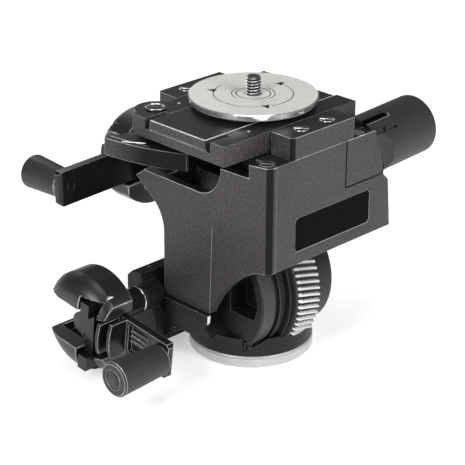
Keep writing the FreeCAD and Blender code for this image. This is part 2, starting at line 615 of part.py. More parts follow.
label_side_housing = wrapped("label_side_housing", label_blank, front_worm_way)

far_blank = new_body("far_side_housing")
pad(far_blank, "XZ_Plane", "inner_half_width", "far_face", [
    ("cheek_front + cheek_thickness", "side_block_top - 11"), ("-18", "side_block_top - 11"),
    ("-18", "wall_bottom"),
    ("rear_inner", "wall_bottom"), ("rear_inner", "wall_top"), ("cap_front", "wall_top"),
    ("cap_front", "side_block_top + 2.5"),
    ("cheek_front + cheek_thickness", "side_block_top + 2.5")])
bore(far_blank, "XZ_Plane", "inner_half_width", "trunnion_end + 0.5",
     ("pivot_x", "pivot_height"), "trunnion_radius + run_gap")
pocket(far_blank, "XZ_Plane", "inner_half_width", "far_face", box_corners(
    "-side_block_half", "side_block_half", "side_block_top - 20", "side_block_top"))
far_side_housing = wrapped("far_side_housing", far_blank, cap_screw_holes)

rear_plate = new_body("rear_plate")
pad(rear_plate, "YZ_Plane", "rear_inner", "wall_back", box_corners(
    "-inner_half_width", "far_face", "wall_bottom", "shelf_height - 5"))
round_edges(rear_plate, "corner_radius", lambda edge, middle: upright(edge, middle)
            and middle.y > 0 and middle.x > size("wall_back - 1"))

side_blank = new_body("side_worm_housing")
pad(side_blank, "XZ_Plane", "-18", "far_face", box_corners(
    "-side_block_half", "side_block_half", "side_block_top - 14", "side_block_top"))
pad(side_blank, "XZ_Plane", "24.5", "far_face", box_corners(
    "-side_block_half", "side_block_half", "side_block_top - 20", "side_block_top"))
round_pad(side_blank, "XZ_Plane", "far_face", "side_crank_reach", ("0", SIDE_WORM_Z),
          SIDE_BORE + " + side_boss_wall")
bore(side_blank, "XZ_Plane", "-worm_overhang - 1", "side_crank_reach", ("0", SIDE_WORM_Z),
     SIDE_BORE)

caps = []
for side, low, high in ((-1, "label_face", "-inner_half_width"), (1, "inner_half_width", "far_face")):
    cap = new_body("cap_label_side" if side < 0 else "cap_far_side")
    pad(cap, "XZ_Plane", low, high, box_corners("cap_front", "cap_back", "wall_top", "cap_top"))
    round_edges(cap, "cap_corner", lambda edge, middle: upright(edge, middle)
                and abs(middle.y) > size("far_face - 1") and middle.x < 0)
    if side < 0:
        bore(cap, "XZ_Plane", "-inner_half_width - front_gear_width - 1", "-inner_half_width",
             ("pivot_x", "pivot_height"), GEAR_POCKET)
        bore(cap, "XZ_Plane", "-trunnion_end - 0.5", "-inner_half_width",
             ("pivot_x", "pivot_height"), "trunnion_radius + run_gap")
    else:
        bore(cap, "XZ_Plane", "inner_half_width", "trunnion_end + 0.5",
             ("pivot_x", "pivot_height"), "trunnion_radius + run_gap")
    caps.append(wrapped(cap.Label.replace("cap_", "bearing_cap_"), cap, cap_screw_holes))


def slotted_screw(top, head_radius, head, shank_radius, length):
    """A screw that stands on its tip, its head's top at the given point, with a cut slot."""
    whole = Part.makeCylinder(head_radius, head, top, -AXIS_Z)
    whole = whole.fuse(Part.makeCylinder(shank_radius, length, top, -AXIS_Z)).removeSplitter()
    slot = size("screw_slot")
    cutter = Part.makeBox(slot, 3 * head_radius, 2, Vector(-slot / 2, -1.5 * head_radius, -1))
    cutter.rotate(Vector(), AXIS_Z, 35)
    cutter.translate(top)
    return whole.cut(cutter)


cap_screws = feature("cap_screws", Part.Compound([slotted_screw(
    Vector(size(column), side * size("screw_row"), size("cap_top") + 0.2),
    size("screw_head_radius"), size("screw_head") + 0.2, size("screw_shank_radius"),
    size("screw_length")) for column, side in SCREW_PLACES]))
corner_screw = feature("corner_screw", slotted_screw(
    Vector(size("cheek_front + 5.4"), size("corner_screw_y"), size("wall_top")),
    size("screw_head_radius"), size("screw_head - 0.5"), size("screw_shank_radius"),
    size("screw_length")))

cover_blank = new_body("worm_cover")
pad(cover_blank, "XZ_Plane", "label_face", "label_face + cover_depth - seat_gap", [
    ("cover_left + label_gap", "shelf_height + label_gap"),
    ("rear_inner - 0.2", "shelf_height + label_gap"),
    ("rear_inner - 9", "wall_top"), ("cover_left + label_gap", "wall_top")])


def cover_screw_hole(shape):
    top = Vector(size("cover_screw_x"), size("label_face + 4.7"), size("wall_top"))
    shape = drill(shape, top, -AXIS_Z, size("screw_head_radius - 0.45"), size("screw_head - 0.5"))
    return drill(shape, top, -AXIS_Z, size("screw_shank_radius - 0.4"), 14)


worm_cover = wrapped("worm_cover", cover_blank, cover_screw_hole)
cover_screw = feature("cover_screw", slotted_screw(
    Vector(size("cover_screw_x"), size("label_face + 4.7"), size("wall_top")),
    size("screw_head_radius - 0.6"),
    size("screw_head - 0.5"), size("screw_shank_radius - 0.5"), 13))

label_plate = new_body("label_plate")
pad(label_plate, "XZ_Plane", "label_face + 0.3", "label_face + recess_floor", box_corners(
    "label_left + label_gap", "label_right - label_gap", "label_bottom + label_gap",
    "label_top - label_gap"))


def tube_shape():
    """The slanted grip tube, cut to seat on the housing's raked end and on the rear plate."""
    length = size("tube_end - pivot_x") / math.cos(math.radians(size("tube_incline")))
    start = FRONT_MESH + FRONT_OUT * 40
    radius = size("tube_radius")
    tube = Part.makeCylinder(radius, length - 40, start, FRONT_OUT)
    rim = [edge for edge in tube.Edges if edge.BoundBox.XMin > size("tube_end - 4")]
    tube = tube.makeFillet(2.5, rim)
    tube = drill(tube, start, FRONT_OUT, size("front_worm_pitch_radius + front_tooth_rise + 0.6"), 90)
    mouth = FRONT_MESH + FRONT_OUT * (length - size("mouth_depth"))
    tube = drill(tube, mouth, FRONT_OUT, size("tube_bore"), 30)
    low, high = size("wall_bottom - 20"), size("pivot_height + 24")
    rake = [Vector(0, 0, low), Vector(size("wall_back + 3.3"), 0, low),
            Vector(size("wall_back + 0.3"), 0, size("shelf_height - 5")),
            Vector(size("rear_inner"), 0, size("shelf_height")),
            Vector(size("rear_inner - 9"), 0, size("wall_top")),
            Vector(size("rear_inner - 9"), 0, high), Vector(0, 0, high)]
    keep_out = Part.Face(Part.makePolygon(rake + rake[:1])).extrude(AXIS_Y * 2 * radius)
    keep_out.translate(AXIS_Y * (-size("inner_half_width") - 2 * radius))
    inner = Part.makeBox(size("wall_back + 0.3"), 3 * radius, high - low,
                         Vector(0, -size("inner_half_width"), low))
    flat = Part.makeBox(size("wall_back + 18"), radius, high - low,
                        Vector(0, size("label_face") - radius, low))
    tube = tube.cut(keep_out).cut(inner).cut(flat)
    slot = Part.makeBox(26, 8, 6, Vector(size("wall_back"), -size("tube_offset") - 1,
                                         size("front_worm_height + tube_radius - 1.1")))
    return tube.cut(slot.makeFillet(2.5, [e for e in slot.Edges if abs(e.tangentAt(0).z) > 0.9]))


grip_tube = feature("grip_tube", tube_shape())


# ---------------------------------------------------------------- platform

tilt_frame = new_body("tilt_frame")
pad(tilt_frame, "XY_Plane", "platform_bottom", "cap_top", box_corners(
    "platform_front", "platform_back", "-platform_half_width", "platform_half_width"))
round_pad(tilt_frame, "XY_Plane", "platform_bottom", "cap_top", ("lever_x", "lever_y"),
          "lever_boss_radius")
for side in ("-", ""):
    near, far = ("-platform_half_width", "-30") if side else ("30", "platform_half_width")
    pad(tilt_frame, "XZ_Plane", near, far, [
        ("pivot_x - ear_reach", "platform_bottom"), ("pivot_x - ear_reach + 3", "pivot_height - 9.5"),
        ("pivot_x + ear_reach - 3", "pivot_height - 9.5"), ("pivot_x + ear_reach", "platform_bottom")])
pocket(tilt_frame, "YZ_Plane", "platform_front - 1", "platform_back + 1", [
    ("-channel_half_width", "channel_floor"), ("channel_half_width", "channel_floor"),
    ("channel_half_width - dovetail", "cap_top"), ("-channel_half_width + dovetail", "cap_top")])
pocket(tilt_frame, "XY_Plane", "channel_floor", "cap_top", box_corners(
    "platform_front", "platform_front + 16.5", "-channel_half_width - 3.2", "channel_half_width + 3.2"))
bore(tilt_frame, "XZ_Plane", "-platform_half_width", "platform_half_width",
     ("pivot_x", "pivot_height"), "trunnion_radius + seat_gap")
bore(tilt_frame, "XY_Plane", "platform_bottom", "cap_top", ("lever_x", "lever_y"),
     "lever_stem_radius + run_gap")

pins = [Part.makeCylinder(size("trunnion_radius"), size("trunnion_end - 30"), Vector(
    size("pivot_x"), side * size("trunnion_end") - (0 if side < 0 else size("trunnion_end - 30")),
    size("pivot_height")), AXIS_Y) for side in (-1, 1)]
trunnion_pins = feature("trunnion_pins", Part.Compound(pins))

front_gear_shape = gear_shape(
    int(size("front_tilt_teeth")),
    size("front_gear_radius"), size("front_tooth_rise"), size("front_tooth_rise + 0.3"),
    size("trunnion_radius + seat_gap"), size("front_gear_width"))
front_gear_shape.rotate(Vector(), AXIS_X, 90)
front_gear_shape.rotate(Vector(), AXIS_Y, 90)
front_tilt_gear = feature("front_tilt_gear", front_gear_shape, FreeCAD.Placement(
    Vector(size("pivot_x"), -size("inner_half_width") - 0.4, size("pivot_height")), Turn()))


# ---------------------------------------------------------------- camera slide

slide_plate = new_body("slide_plate")
pad(slide_plate, "YZ_Plane", "platform_front", "platform_back - 2", [
    ("-plate_half_width - dovetail", "channel_floor + side_gap"),
    ("plate_half_width + dovetail", "channel_floor + side_gap"), ("plate_half_width", "cap_top"),
    ("-plate_half_width", "cap_top")])
round_pad(slide_plate, "XY_Plane", "cap_top", "disc_bottom", ("0", "0"), "neck_pad_radius")
bore(slide_plate, "XY_Plane", "channel_floor", "channel_floor + 5.2", ("0", "0"),
     "screw_pad_radius + 0.5")
bore(slide_plate, "XY_Plane", "channel_floor + 5.2", "disc_bottom", ("0", "0"),
     "camera_shank_radius + 0.2")

camera_disc = new_body("camera_disc")
turned(camera_disc, "XY_Plane", [
    ("disc_bottom", "camera_shank_radius + 0.2"), ("disc_bottom", "disc_radius - 1.4"),
    ("disc_bottom + 1", "disc_radius - 0.4"), ("disc_bottom + 1.9", "disc_radius - 0.4"),
    ("disc_bottom + 2.2", "disc_radius"), ("disc_top - 0.5", "disc_radius"),
    ("disc_top", "disc_radius - 0.6"),
    ("disc_top", "camera_shank_radius + 0.2")])
place(camera_disc, Vector(), Turn(AXIS_Y, -90))


camera_screw = new_body("camera_screw")
HEAD_BOTTOM = "channel_floor + 2 * side_gap"
turned(camera_screw, "XY_Plane", [
    (HEAD_BOTTOM, "0"), (HEAD_BOTTOM, "screw_pad_radius"),
    (HEAD_BOTTOM + " + 4", "screw_pad_radius"), (HEAD_BOTTOM + " + 4", "camera_shank_radius"),
    ("disc_top", "camera_shank_radius"), ("disc_top", "camera_thread_radius"),
    ("camera_screw_top - 1", "camera_thread_radius"),
    ("camera_screw_top", "camera_thread_radius - 1"), ("camera_screw_top", "0")])
place(camera_screw, Vector(), Turn(AXIS_Y, -90))


# ---------------------------------------------------------------- release lever

release_lever = new_body("release_lever")
round_pad(release_lever, "XY_Plane", "platform_bottom - 8.5", "cap_top - 0.5",
          ("lever_x", "lever_y"), "lever_stem_radius")
pad(release_lever, "XY_Plane", "platform_bottom - 8.5", "platform_bottom - 4", [
    ("lever_x + 7", "lever_y - 4"), ("lever_x + 5", "lever_y + 9"),
    ("lever_x - 22.5", "lever_y + 16"), ("lever_x - 16.5", "lever_y - 24"),
    ("lever_x - 11", "lever_y - 33")])
pad(release_lever, "XY_Plane", "platform_bottom - 15", "platform_bottom - 4", [
    ("lever_x - 23.5", "lever_y + 17"), ("lever_x - 27", "lever_y + 17"),
    ("lever_x - 10.5", "lever_y - 38"), ("lever_x - 7.5", "lever_y - 37")],
    {1: ("130", -1), 3: ("126", 1)})

lever_screw = new_body("lever_screw")
round_pad(lever_screw, "XY_Plane", "cap_top + side_gap", "cap_top + 1.5", ("lever_x", "lever_y"),
          "6.5")
round_pad(lever_screw, "XY_Plane", "cap_top - 0.5", "cap_top + side_gap", ("lever_x", "lever_y"),
          "lever_stem_radius")
bore(lever_screw, "XY_Plane", "cap_top + 0.9", "cap_top + 1.5", ("lever_x", "lever_y"), "4.9")


# ---------------------------------------------------------------- crank units

def shell_shape(notch_height):
    """A release shell above the crank's axis: part of a drum with a rounded nose in front."""
    back, crease, front = size("shell_back"), size("shell_crease"), size("shell_front")
    radius, nose = size("shell_radius"), size("shell_nose")
    shoulder, tip = Vector(crease, radius, 0), Vector(front, nose, 0)
    chord = tip - shoulder
    rise = math.sqrt(size("nose_rounding") ** 2 - (chord.Length / 2) ** 2)
    outwards = Vector(-chord.y, chord.x, 0).normalize()
    middle = (shoulder + tip) * 0.5
    crown = middle + outwards * (size("nose_rounding") - rise)
    corners = [tip, Vector(front, 0, 0), Vector(back, 0, 0), Vector(back, radius, 0), shoulder]
    edges = [Part.LineSegment(a, b).toShape() for a, b in zip(corners, corners[1:])]
    edges.append(Part.Arc(shoulder, crown, tip).toShape())
    drum = Part.Face(Part.Wire(Part.__sortEdges__(edges))).revolve(Vector(), AXIS_X, 360)
    half, wall = size("shell_half_width"), size("shell_wall")
    keep = Part.makeBox(front, 2 * half, radius, Vector(back - 1, -half, size("shell_rim")))
    hollow = Part.makeCylinder(radius - wall, crease - back - wall, Vector(back + wall, 0, 0), AXIS_X)
    between = Part.makeBox(60, 2 * (half - wall), 2 * radius, Vector(back, wall - half, -radius))
    notch = Part.makeBox(front, size("latch_right - latch_left + 6 * latch_gap"), notch_height,
                         Vector(crease - 1, size("latch_left - latch_gap"), size("shell_rim") - 1))
    lug = Part.makeBox(size("lug_half_length + shell_back - hinge_place + 0.4"), size("lug_width"), 7,
                       Vector(size("hinge_place - lug_half_length"), -size("lug_width") / 2,
                              size("hinge_lift - 2.8")))
    shell = drum.common(keep).cut(hollow.common(between)).cut(notch).fuse(lug)
    pin_way = Vector(size("hinge_place"), -20, size("hinge_lift"))
    return drill(shell.removeSplitter(), pin_way, AXIS_Y, size("hinge_pin_radius + run_gap"), 40)


def crank_unit(name, origin, rotation, housing_bore):
    """One crank: bush, hub, arm, grip and the two release shells.

    Each piece is drawn along X, outwards from the housing's end, with the arm towards +Y.
    """
    frame = FreeCAD.Placement(origin, rotation)
    bush = new_body(name + "_bush")
    round_pad(bush, "YZ_Plane", "0", "bush_flange", ("0", "0"), "bush_flange_radius",
              "shaft_radius + run_gap")
    round_pad(bush, "YZ_Plane", "-%s_bush_length" % name, "0", ("0", "0"),
              housing_bore + " - seat_gap", "shaft_radius + run_gap")
    bush.Placement = frame

    rest_turn = Turn(AXIS_X, -size(name + "_rest_turn"))
    frame = frame.multiply(FreeCAD.Placement(Vector(), rest_turn))
    hub = new_body(name + "_crank_hub")
    turned(hub, "XY_Plane", [
        ("hub_start", "shaft_radius + seat_gap"), ("hub_start", "hub_radius"),
        ("neck_start", "hub_radius"), ("neck_start", "neck_radius"),
        ("hub_end", "neck_radius"), ("hub_end", "0"), ("shaft_reach + 0.5", "0"),
        ("shaft_reach + 0.5", "shaft_radius + seat_gap")])
    for low, high in (("-lug_width / 2 - 0.3 - ear_thickness", "-lug_width / 2 - 0.3"),
                      ("lug_width / 2 + 0.3", "lug_width / 2 + 0.3 + ear_thickness")):
        pad(hub, "XZ_Plane", low, high, box_corners(
            "hinge_place - lug_half_length", "hinge_place + lug_half_length", "-hinge_lift - 3.5",
            "hinge_lift + 3.5"))
    pad(hub, "YZ_Plane", "hub_end - 3", "hub_end", box_corners(
        "latch_left - 1", "latch_right - 1", "latch_lower + 1", "latch_upper + 1"))
    for low in ("latch_upper", "latch_lower"):
        pad(hub, "YZ_Plane", "hub_end - 3", "latch_front", box_corners(
            "latch_left", "latch_right", low, low + " + latch_height"))
    for height in ("hinge_lift", "-hinge_lift"):
        bore(hub, "XZ_Plane", "-hub_radius - 2", "hub_radius + 2", ("hinge_place", height),
             "hinge_pin_radius + seat_gap")
    hub.Placement = frame

    length = size("lug_width + 0.6 + 2 * ear_thickness")
    pin_places = [Vector(size("hinge_place"), -length / 2, side * size("hinge_lift"))
                  for side in (1, -1)]
    feature(name + "_hinge_pins", Part.Compound([Part.makeCylinder(
        size("hinge_pin_radius"), length, start, AXIS_Y) for start in pin_places]), frame)

    arm = new_body(name + "_crank_arm")
    arm_end = name + "_arm_end"
    pad(arm, "YZ_Plane", "arm_back", "arm_front", [
        ("0", "-arm_half"), (arm_end + " - 2", "-arm_half"), (arm_end, "2 - arm_half"),
        (arm_end, "arm_half - 2"), (arm_end + " - 2", "arm_half"), ("0", "arm_half")])
    pocket(arm, "XY_Plane", "-arm_half - 1", "arm_half + 1", [
        ("arm_back", arm_end + " - arm_rounding"), ("arm_back - 1", arm_end + " - arm_rounding"),
        ("arm_back - 1", arm_end + " + 1"), ("arm_back + arm_rounding", arm_end + " + 1"),
        ("arm_back + arm_rounding", arm_end)], {4: ("arm_rounding", -1)})
    round_pad(arm, "YZ_Plane", "arm_back", "arm_front", ("0", "0"), "arm_half")
    pad(arm, "XZ_Plane", "shell_half_width + 1.8", "shell_half_width + 4.3", box_corners(
        "arm_front - 1", "hub_end", "-arm_half", "arm_half"), {1: ("40", -1)})
    pad(arm, "XZ_Plane", "shell_half_width - 4.8", "shell_half_width - 2.4", box_corners(
        "arm_front - 1", "hub_end + 3.5", "1.5 - arm_half", "arm_half - 1.5"), {1: ("36", -1)})
    bore(arm, "YZ_Plane", "arm_back", "arm_front", ("0", "0"), "neck_radius + seat_gap")
    grip_reach = name + "_grip_reach"
    pocket_end = grip_reach + " - grip_root_radius - 2.5"
    pocket(arm, "YZ_Plane", "arm_front - arm_pocket", "arm_front", box_corners(
        "shell_half_width + 6.3", pocket_end, "arm_wall - arm_half", "arm_half - arm_wall"))
    for low in ("-4", "-0.5", "3"):
        pad(arm, "YZ_Plane", "arm_front - arm_pocket - 1", "arm_front - arm_pocket + 0.9", box_corners(
            "shell_half_width + 6.3", pocket_end + " + 1", low, low + " + 1.2"))
    bore(arm, "YZ_Plane", "arm_back", "arm_front", (grip_reach, "0"),
         "grip_pin_radius + seat_gap")
    arm.Placement = frame

    reach = Vector(0, size(grip_reach), 0)
    grip_start = "arm_front + side_gap"
    grip_stop = "%s + %s_grip_length" % (grip_start, name)
    grip = new_body(name + "_grip")
    turned(grip, "XY_Plane", [
        (grip_start, "grip_pin_radius + run_gap"), (grip_start, "grip_root_radius - 0.8"),
        (grip_start + " + 0.8", "grip_root_radius"), (grip_stop + " - 1.2", "grip_end_radius"),
        (grip_stop, "grip_end_radius - 1.2"), (grip_stop, "grip_disc_radius + 0.8"),
        (grip_stop + " - 1.6", "grip_disc_radius + 0.8"),
        (grip_stop + " - 1.6", "grip_pin_radius + run_gap")])
    grip.Placement = frame.multiply(FreeCAD.Placement(reach, Turn()))
    pin = new_body(name + "_grip_pin")
    turned(pin, "XY_Plane", [
        ("arm_back", "0"), ("arm_back", "grip_pin_radius"),
        (grip_stop + " - 1.3", "grip_pin_radius"), (grip_stop + " - 1.3", "grip_disc_radius"),
        (grip_stop + " - 0.2", "grip_disc_radius"),
        (grip_stop + " + 0.2", "grip_disc_radius - 1"), (grip_stop + " + 0.2", "0")])
    pin.Placement = frame.multiply(FreeCAD.Placement(reach, Turn()))

    upper_notch = size("latch_upper + latch_height + 3 - shell_rim + 1")
    lower_notch = size("-latch_lower + 3 - shell_rim + 1")
    feature(name + "_release_upper", shell_shape(upper_notch), frame)
    feature(name + "_release_lower", shell_shape(lower_notch).mirror(Vector(), AXIS_Z), frame)


pan_pitch = 2 * math.pi * size("pan_pitch_radius") / size("pan_teeth")
side_pitch = 2 * math.pi * size("tilt_pitch_radius") / size("tilt_teeth")

pan_worm_shape = worm_shape(
    pan_pitch, size("pan_worm_radius"), size("worm_rise"), size("pan_worm_drop"),
    int(size("worm_turns")), size("pan_shaft_radius"), -size("worm_overhang"),
    -TRAIN_FRONT - size("side_gap"), 90)
pan_worm_shape.rotate(Vector(), AXIS_Z, 180)
pan_worm_shape.translate(PAN_MESH)
pan_worm = feature("pan_worm", pan_worm_shape.fuse(
    train_gear(size("pan_shaft_radius - 0.5"), PAN_MESH, 0)).removeSplitter())

crank_shaft_shape = Part.makeCylinder(
    size("shaft_radius"), PINION_START + size("train_width") - boss_start.x + size("shaft_reach"),
    boss_start - AXIS_X * size("shaft_reach"), AXIS_X)
pan_crank_shaft = feature("pan_crank_shaft", crank_shaft_shape.fuse(
    train_gear(size("shaft_radius - 0.5"), CRANK_AXIS, 0)).removeSplitter())

side_worm_shape = worm_shape(
    side_pitch, size("side_worm_radius"), size("worm_rise"), size("side_worm_drop"),
    int(size("worm_turns")), size("shaft_radius"), -size("worm_overhang"),
    size("side_crank_reach + shaft_reach"), 0)
side_worm = feature("side_worm", side_worm_shape, FreeCAD.Placement(SIDE_MESH, SIDE_TURN))

crank_unit("pan", PAN_ORIGIN, PAN_TURN, PAN_BORE)
crank_unit("side", SIDE_ORIGIN, SIDE_TURN, SIDE_BORE)


# ---------------------------------------------------------------- front tilt worm

front_pitch = 2 * math.pi * size("front_gear_radius") / size("front_tilt_teeth")
knob_start = size("tube_end - pivot_x") - size("mouth_depth") + 2
front_worm_shape = worm_shape(
    front_pitch, size("front_worm_pitch_radius"), size("front_tooth_rise"),
    size("front_tooth_rise + 0.25"), int(size("front_worm_turns")), size("front_shaft_radius"), -10,
    knob_start + 3, 180)
front_worm = feature("front_worm", front_worm_shape,
                     FreeCAD.Placement(FRONT_MESH, FRONT_WORM_TURN))

end_knob = new_body("end_knob")
knob_low = "tube_end - pivot_x - mouth_depth + 2"
turned(end_knob, "XY_Plane", [
    (knob_low, "front_shaft_radius + seat_gap"), (knob_low, "tube_bore - 0.3"),
    (knob_low + " + 8.6", "tube_bore - 0.3"), (knob_low + " + 9.6", "tube_bore - 1.3"),
    (knob_low + " + 9.6", "tube_bore - 4"), (knob_low + " + 6", "tube_bore - 6"),
    (knob_low + " + 6", "0"), (knob_low + " + 3", "0"),
    (knob_low + " + 3", "front_shaft_radius + seat_gap")])
pad(end_knob, "XZ_Plane", "-2", "2", box_corners(
    knob_low + " + 5", knob_low + " + 9.4", "-tube_bore + 4.6", "tube_bore - 4.6"))
end_knob.Placement = FreeCAD.Placement(FRONT_MESH, FRONT_WORM_TURN)


# ---------------------------------------------------------------- checks and export

document.recompute()
NODES = [
    "base_plate", "pan_gear", "spindle_cap", "turret_housing", "pan_bracket", "bracket_screw",
    "tilt_drum", "drum_gear", "tilt_axle", "front_cheek", "rear_cheek", "label_side_housing",
    "far_side_housing", "rear_plate", "side_worm_housing", "bearing_cap_label_side",
    "bearing_cap_far_side", "cap_screws", "corner_screw", "worm_cover", "cover_screw",
    "label_plate", "grip_tube", "tilt_frame", "trunnion_pins", "front_tilt_gear", "slide_plate",
    "camera_disc", "camera_screw", "release_lever", "lever_screw", "front_worm", "end_knob",
    "train_cover", "idler_pin", "pan_idler", "pan_worm_bush", "pan_worm", "pan_crank_shaft",
    "side_worm"]
for unit in ("pan", "side"):
    for piece in ("bush", "crank_hub", "hinge_pins", "crank_arm", "grip", "grip_pin",
                  "release_upper", "release_lower"):
        NODES.append(unit + "_" + piece)

for item in document.Objects:
    if "Invalid" in item.State or "Error" in item.State:
        raise RuntimeError("%s has not been computed: %s" % (item.Label, item.State))
os.makedirs("parts", exist_ok=True)
for node in NODES:
    item = document.getObjectsByLabel(node)[0]
    shape = item.Shape
    if shape.isNull() or not shape.isValid():
        raise RuntimeError(node + " has no valid shape")
    shape.exportStep("parts/%s.step" % node)
    print("%-24s %2d solids %10.1f mm3" % (node, len(shape.Solids), shape.Volume))
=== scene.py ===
import json
import math

import bmesh
import bpy
import numpy as np
from mathutils import Matrix, Vector
from mathutils.bvhtree import BVHTree


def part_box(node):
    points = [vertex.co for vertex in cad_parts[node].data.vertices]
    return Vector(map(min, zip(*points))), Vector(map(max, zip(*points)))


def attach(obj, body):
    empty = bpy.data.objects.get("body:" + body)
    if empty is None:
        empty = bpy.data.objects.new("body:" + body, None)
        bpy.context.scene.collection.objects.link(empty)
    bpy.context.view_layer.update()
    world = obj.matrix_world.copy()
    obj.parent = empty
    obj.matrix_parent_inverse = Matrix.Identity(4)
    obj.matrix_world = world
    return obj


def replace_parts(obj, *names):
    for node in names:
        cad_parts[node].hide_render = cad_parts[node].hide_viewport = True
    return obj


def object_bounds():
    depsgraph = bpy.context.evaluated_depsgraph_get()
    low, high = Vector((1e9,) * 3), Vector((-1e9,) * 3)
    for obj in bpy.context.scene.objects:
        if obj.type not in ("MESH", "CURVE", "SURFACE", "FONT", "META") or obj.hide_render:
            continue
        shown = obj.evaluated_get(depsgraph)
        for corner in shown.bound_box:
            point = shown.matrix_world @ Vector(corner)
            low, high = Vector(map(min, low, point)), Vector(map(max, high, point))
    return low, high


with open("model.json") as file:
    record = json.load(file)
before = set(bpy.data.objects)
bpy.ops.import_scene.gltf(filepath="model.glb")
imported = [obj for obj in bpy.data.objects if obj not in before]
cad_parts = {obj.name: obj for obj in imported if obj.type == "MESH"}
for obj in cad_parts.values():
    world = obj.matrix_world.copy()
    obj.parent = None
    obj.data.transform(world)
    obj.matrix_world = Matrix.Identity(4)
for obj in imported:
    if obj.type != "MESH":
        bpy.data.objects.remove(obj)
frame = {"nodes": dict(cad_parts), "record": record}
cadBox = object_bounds()
mm = 0.001
mergeDistance = 2e-6  # metres, for the doubled corners of a mesh
bodyOf = {node: body for body, names in frame["record"]["behaviour"]["bodies"].items() for node in names}
print("frame loaded:", len(frame["nodes"]), "nodes")


# shader groups that several finishes share

def newGroup(name, inputs, outputs):
    tree = bpy.data.node_groups.new(name, "ShaderNodeTree")
    for label, value in inputs.items():
        socket = tree.interface.new_socket(label, in_out="INPUT", socket_type="NodeSocketFloat")
        socket.default_value = value
    for label in outputs:
        tree.interface.new_socket(label, in_out="OUTPUT", socket_type="NodeSocketFloat")
    return tree, tree.nodes.new("NodeGroupInput"), tree.nodes.new("NodeGroupOutput")


def addNode(tree, kind, values=None, **settings):
    node = tree.nodes.new(kind)
    for key, value in settings.items():
        setattr(node, key, value)
    for key, value in (values or {}).items():
        node.inputs[key].default_value = value
    return node


def mathNode(tree, operation, first, second=None, clamp=False):
    node = addNode(tree, "ShaderNodeMath", operation=operation, use_clamp=clamp)
    for slotNumber, value in enumerate((first, second)):
        if isinstance(value, (int, float)):
            node.inputs[slotNumber].default_value = value
        elif value is not None:
            tree.links.new(value, node.inputs[slotNumber])
    return node.outputs[0]


def coordinate(tree, kind="Object"):
    return addNode(tree, "ShaderNodeTexCoord").outputs[kind]


def splitAxes(tree, vector):
    split = addNode(tree, "ShaderNodeSeparateXYZ")
    tree.links.new(vector, split.inputs[0])
    return split.outputs


def grainGroup():
    # speckle and slow clouding from two noises on Object coordinates, as a height and a 0..1 mask
    tree, source, sink = newGroup("fineGrain", {"Grain Scale": 1500.0, "Cloud Scale": 40.0, "Cloud Share": 0.3},
                                  ["Height", "Mask"])
    place = coordinate(tree)
    fine = addNode(tree, "ShaderNodeTexNoise", {"Detail": 3.0, "Roughness": 0.6})
    cloud = addNode(tree, "ShaderNodeTexNoise", {"Detail": 4.0, "Roughness": 0.55})
    for noise, scale in ((fine, "Grain Scale"), (cloud, "Cloud Scale")):
        tree.links.new(place, noise.inputs["Vector"])
        tree.links.new(source.outputs[scale], noise.inputs["Scale"])
    mix = addNode(tree, "ShaderNodeMix")  # sockets 0, 2 and 3: the share and the two values
    tree.links.new(source.outputs["Cloud Share"], mix.inputs[0])
    tree.links.new(fine.outputs["Fac"], mix.inputs[2])
    tree.links.new(cloud.outputs["Fac"], mix.inputs[3])
    tree.links.new(fine.outputs["Fac"], sink.inputs["Height"])
    tree.links.new(mix.outputs[0], sink.inputs["Mask"])
    return tree


def wearGroup():
    # where paint is rubbed: a noise cut at a threshold, soft at its edge
    tree, source, sink = newGroup("rubbedEdge", {"Scale": 300.0, "Level": 0.5, "Softness": 0.12}, ["Mask"])
    noise = addNode(tree, "ShaderNodeTexNoise", {"Detail": 5.0, "Roughness": 0.65})
    tree.links.new(coordinate(tree), noise.inputs["Vector"])
    tree.links.new(source.outputs["Scale"], noise.inputs["Scale"])
    over = mathNode(tree, "SUBTRACT", noise.outputs["Fac"], source.outputs["Level"])
    ramp = mathNode(tree, "DIVIDE", over, source.outputs["Softness"], clamp=True)
    tree.links.new(ramp, sink.inputs["Mask"])
    return tree


def turningGroup():
    # fine lathe rings about the Z axis: a sine of the radius, broken up by a noise
    tree, source, sink = newGroup("latheRings", {"Rings Per Metre": 2500.0, "Unevenness": 3.0}, ["Height"])
    place = coordinate(tree)
    axis = splitAxes(tree, place)
    squares = [mathNode(tree, "MULTIPLY", axis[name], axis[name]) for name in ("X", "Y")]
    radius = mathNode(tree, "SQRT", mathNode(tree, "ADD", *squares))
    noise = addNode(tree, "ShaderNodeTexNoise", {"Scale": 60.0, "Detail": 2.0})
    tree.links.new(place, noise.inputs["Vector"])
    drift = mathNode(tree, "MULTIPLY", noise.outputs["Fac"], source.outputs["Unevenness"])
    phase = mathNode(tree, "MULTIPLY", radius, source.outputs["Rings Per Metre"])
    wave = mathNode(tree, "SINE", mathNode(tree, "ADD", phase, drift))
    tree.links.new(wave, sink.inputs["Height"])
    return tree


def cornerShadeGroup():
    # painted shade on upright rounded corners: the product of the normal's X and Y, nought on flat walls
    tree, source, sink = newGroup("cornerShadeMask", {"Gain": 5.0, "Start": 0.45}, ["Mask"])
    axis = splitAxes(tree, coordinate(tree, "Normal"))
    product = mathNode(tree, "MULTIPLY", axis["X"], axis["Y"])
    raised = mathNode(tree, "MULTIPLY", product, source.outputs["Gain"])
    mask = mathNode(tree, "SUBTRACT", raised, source.outputs["Start"], clamp=True)
    tree.links.new(mask, sink.inputs["Mask"])
    return tree


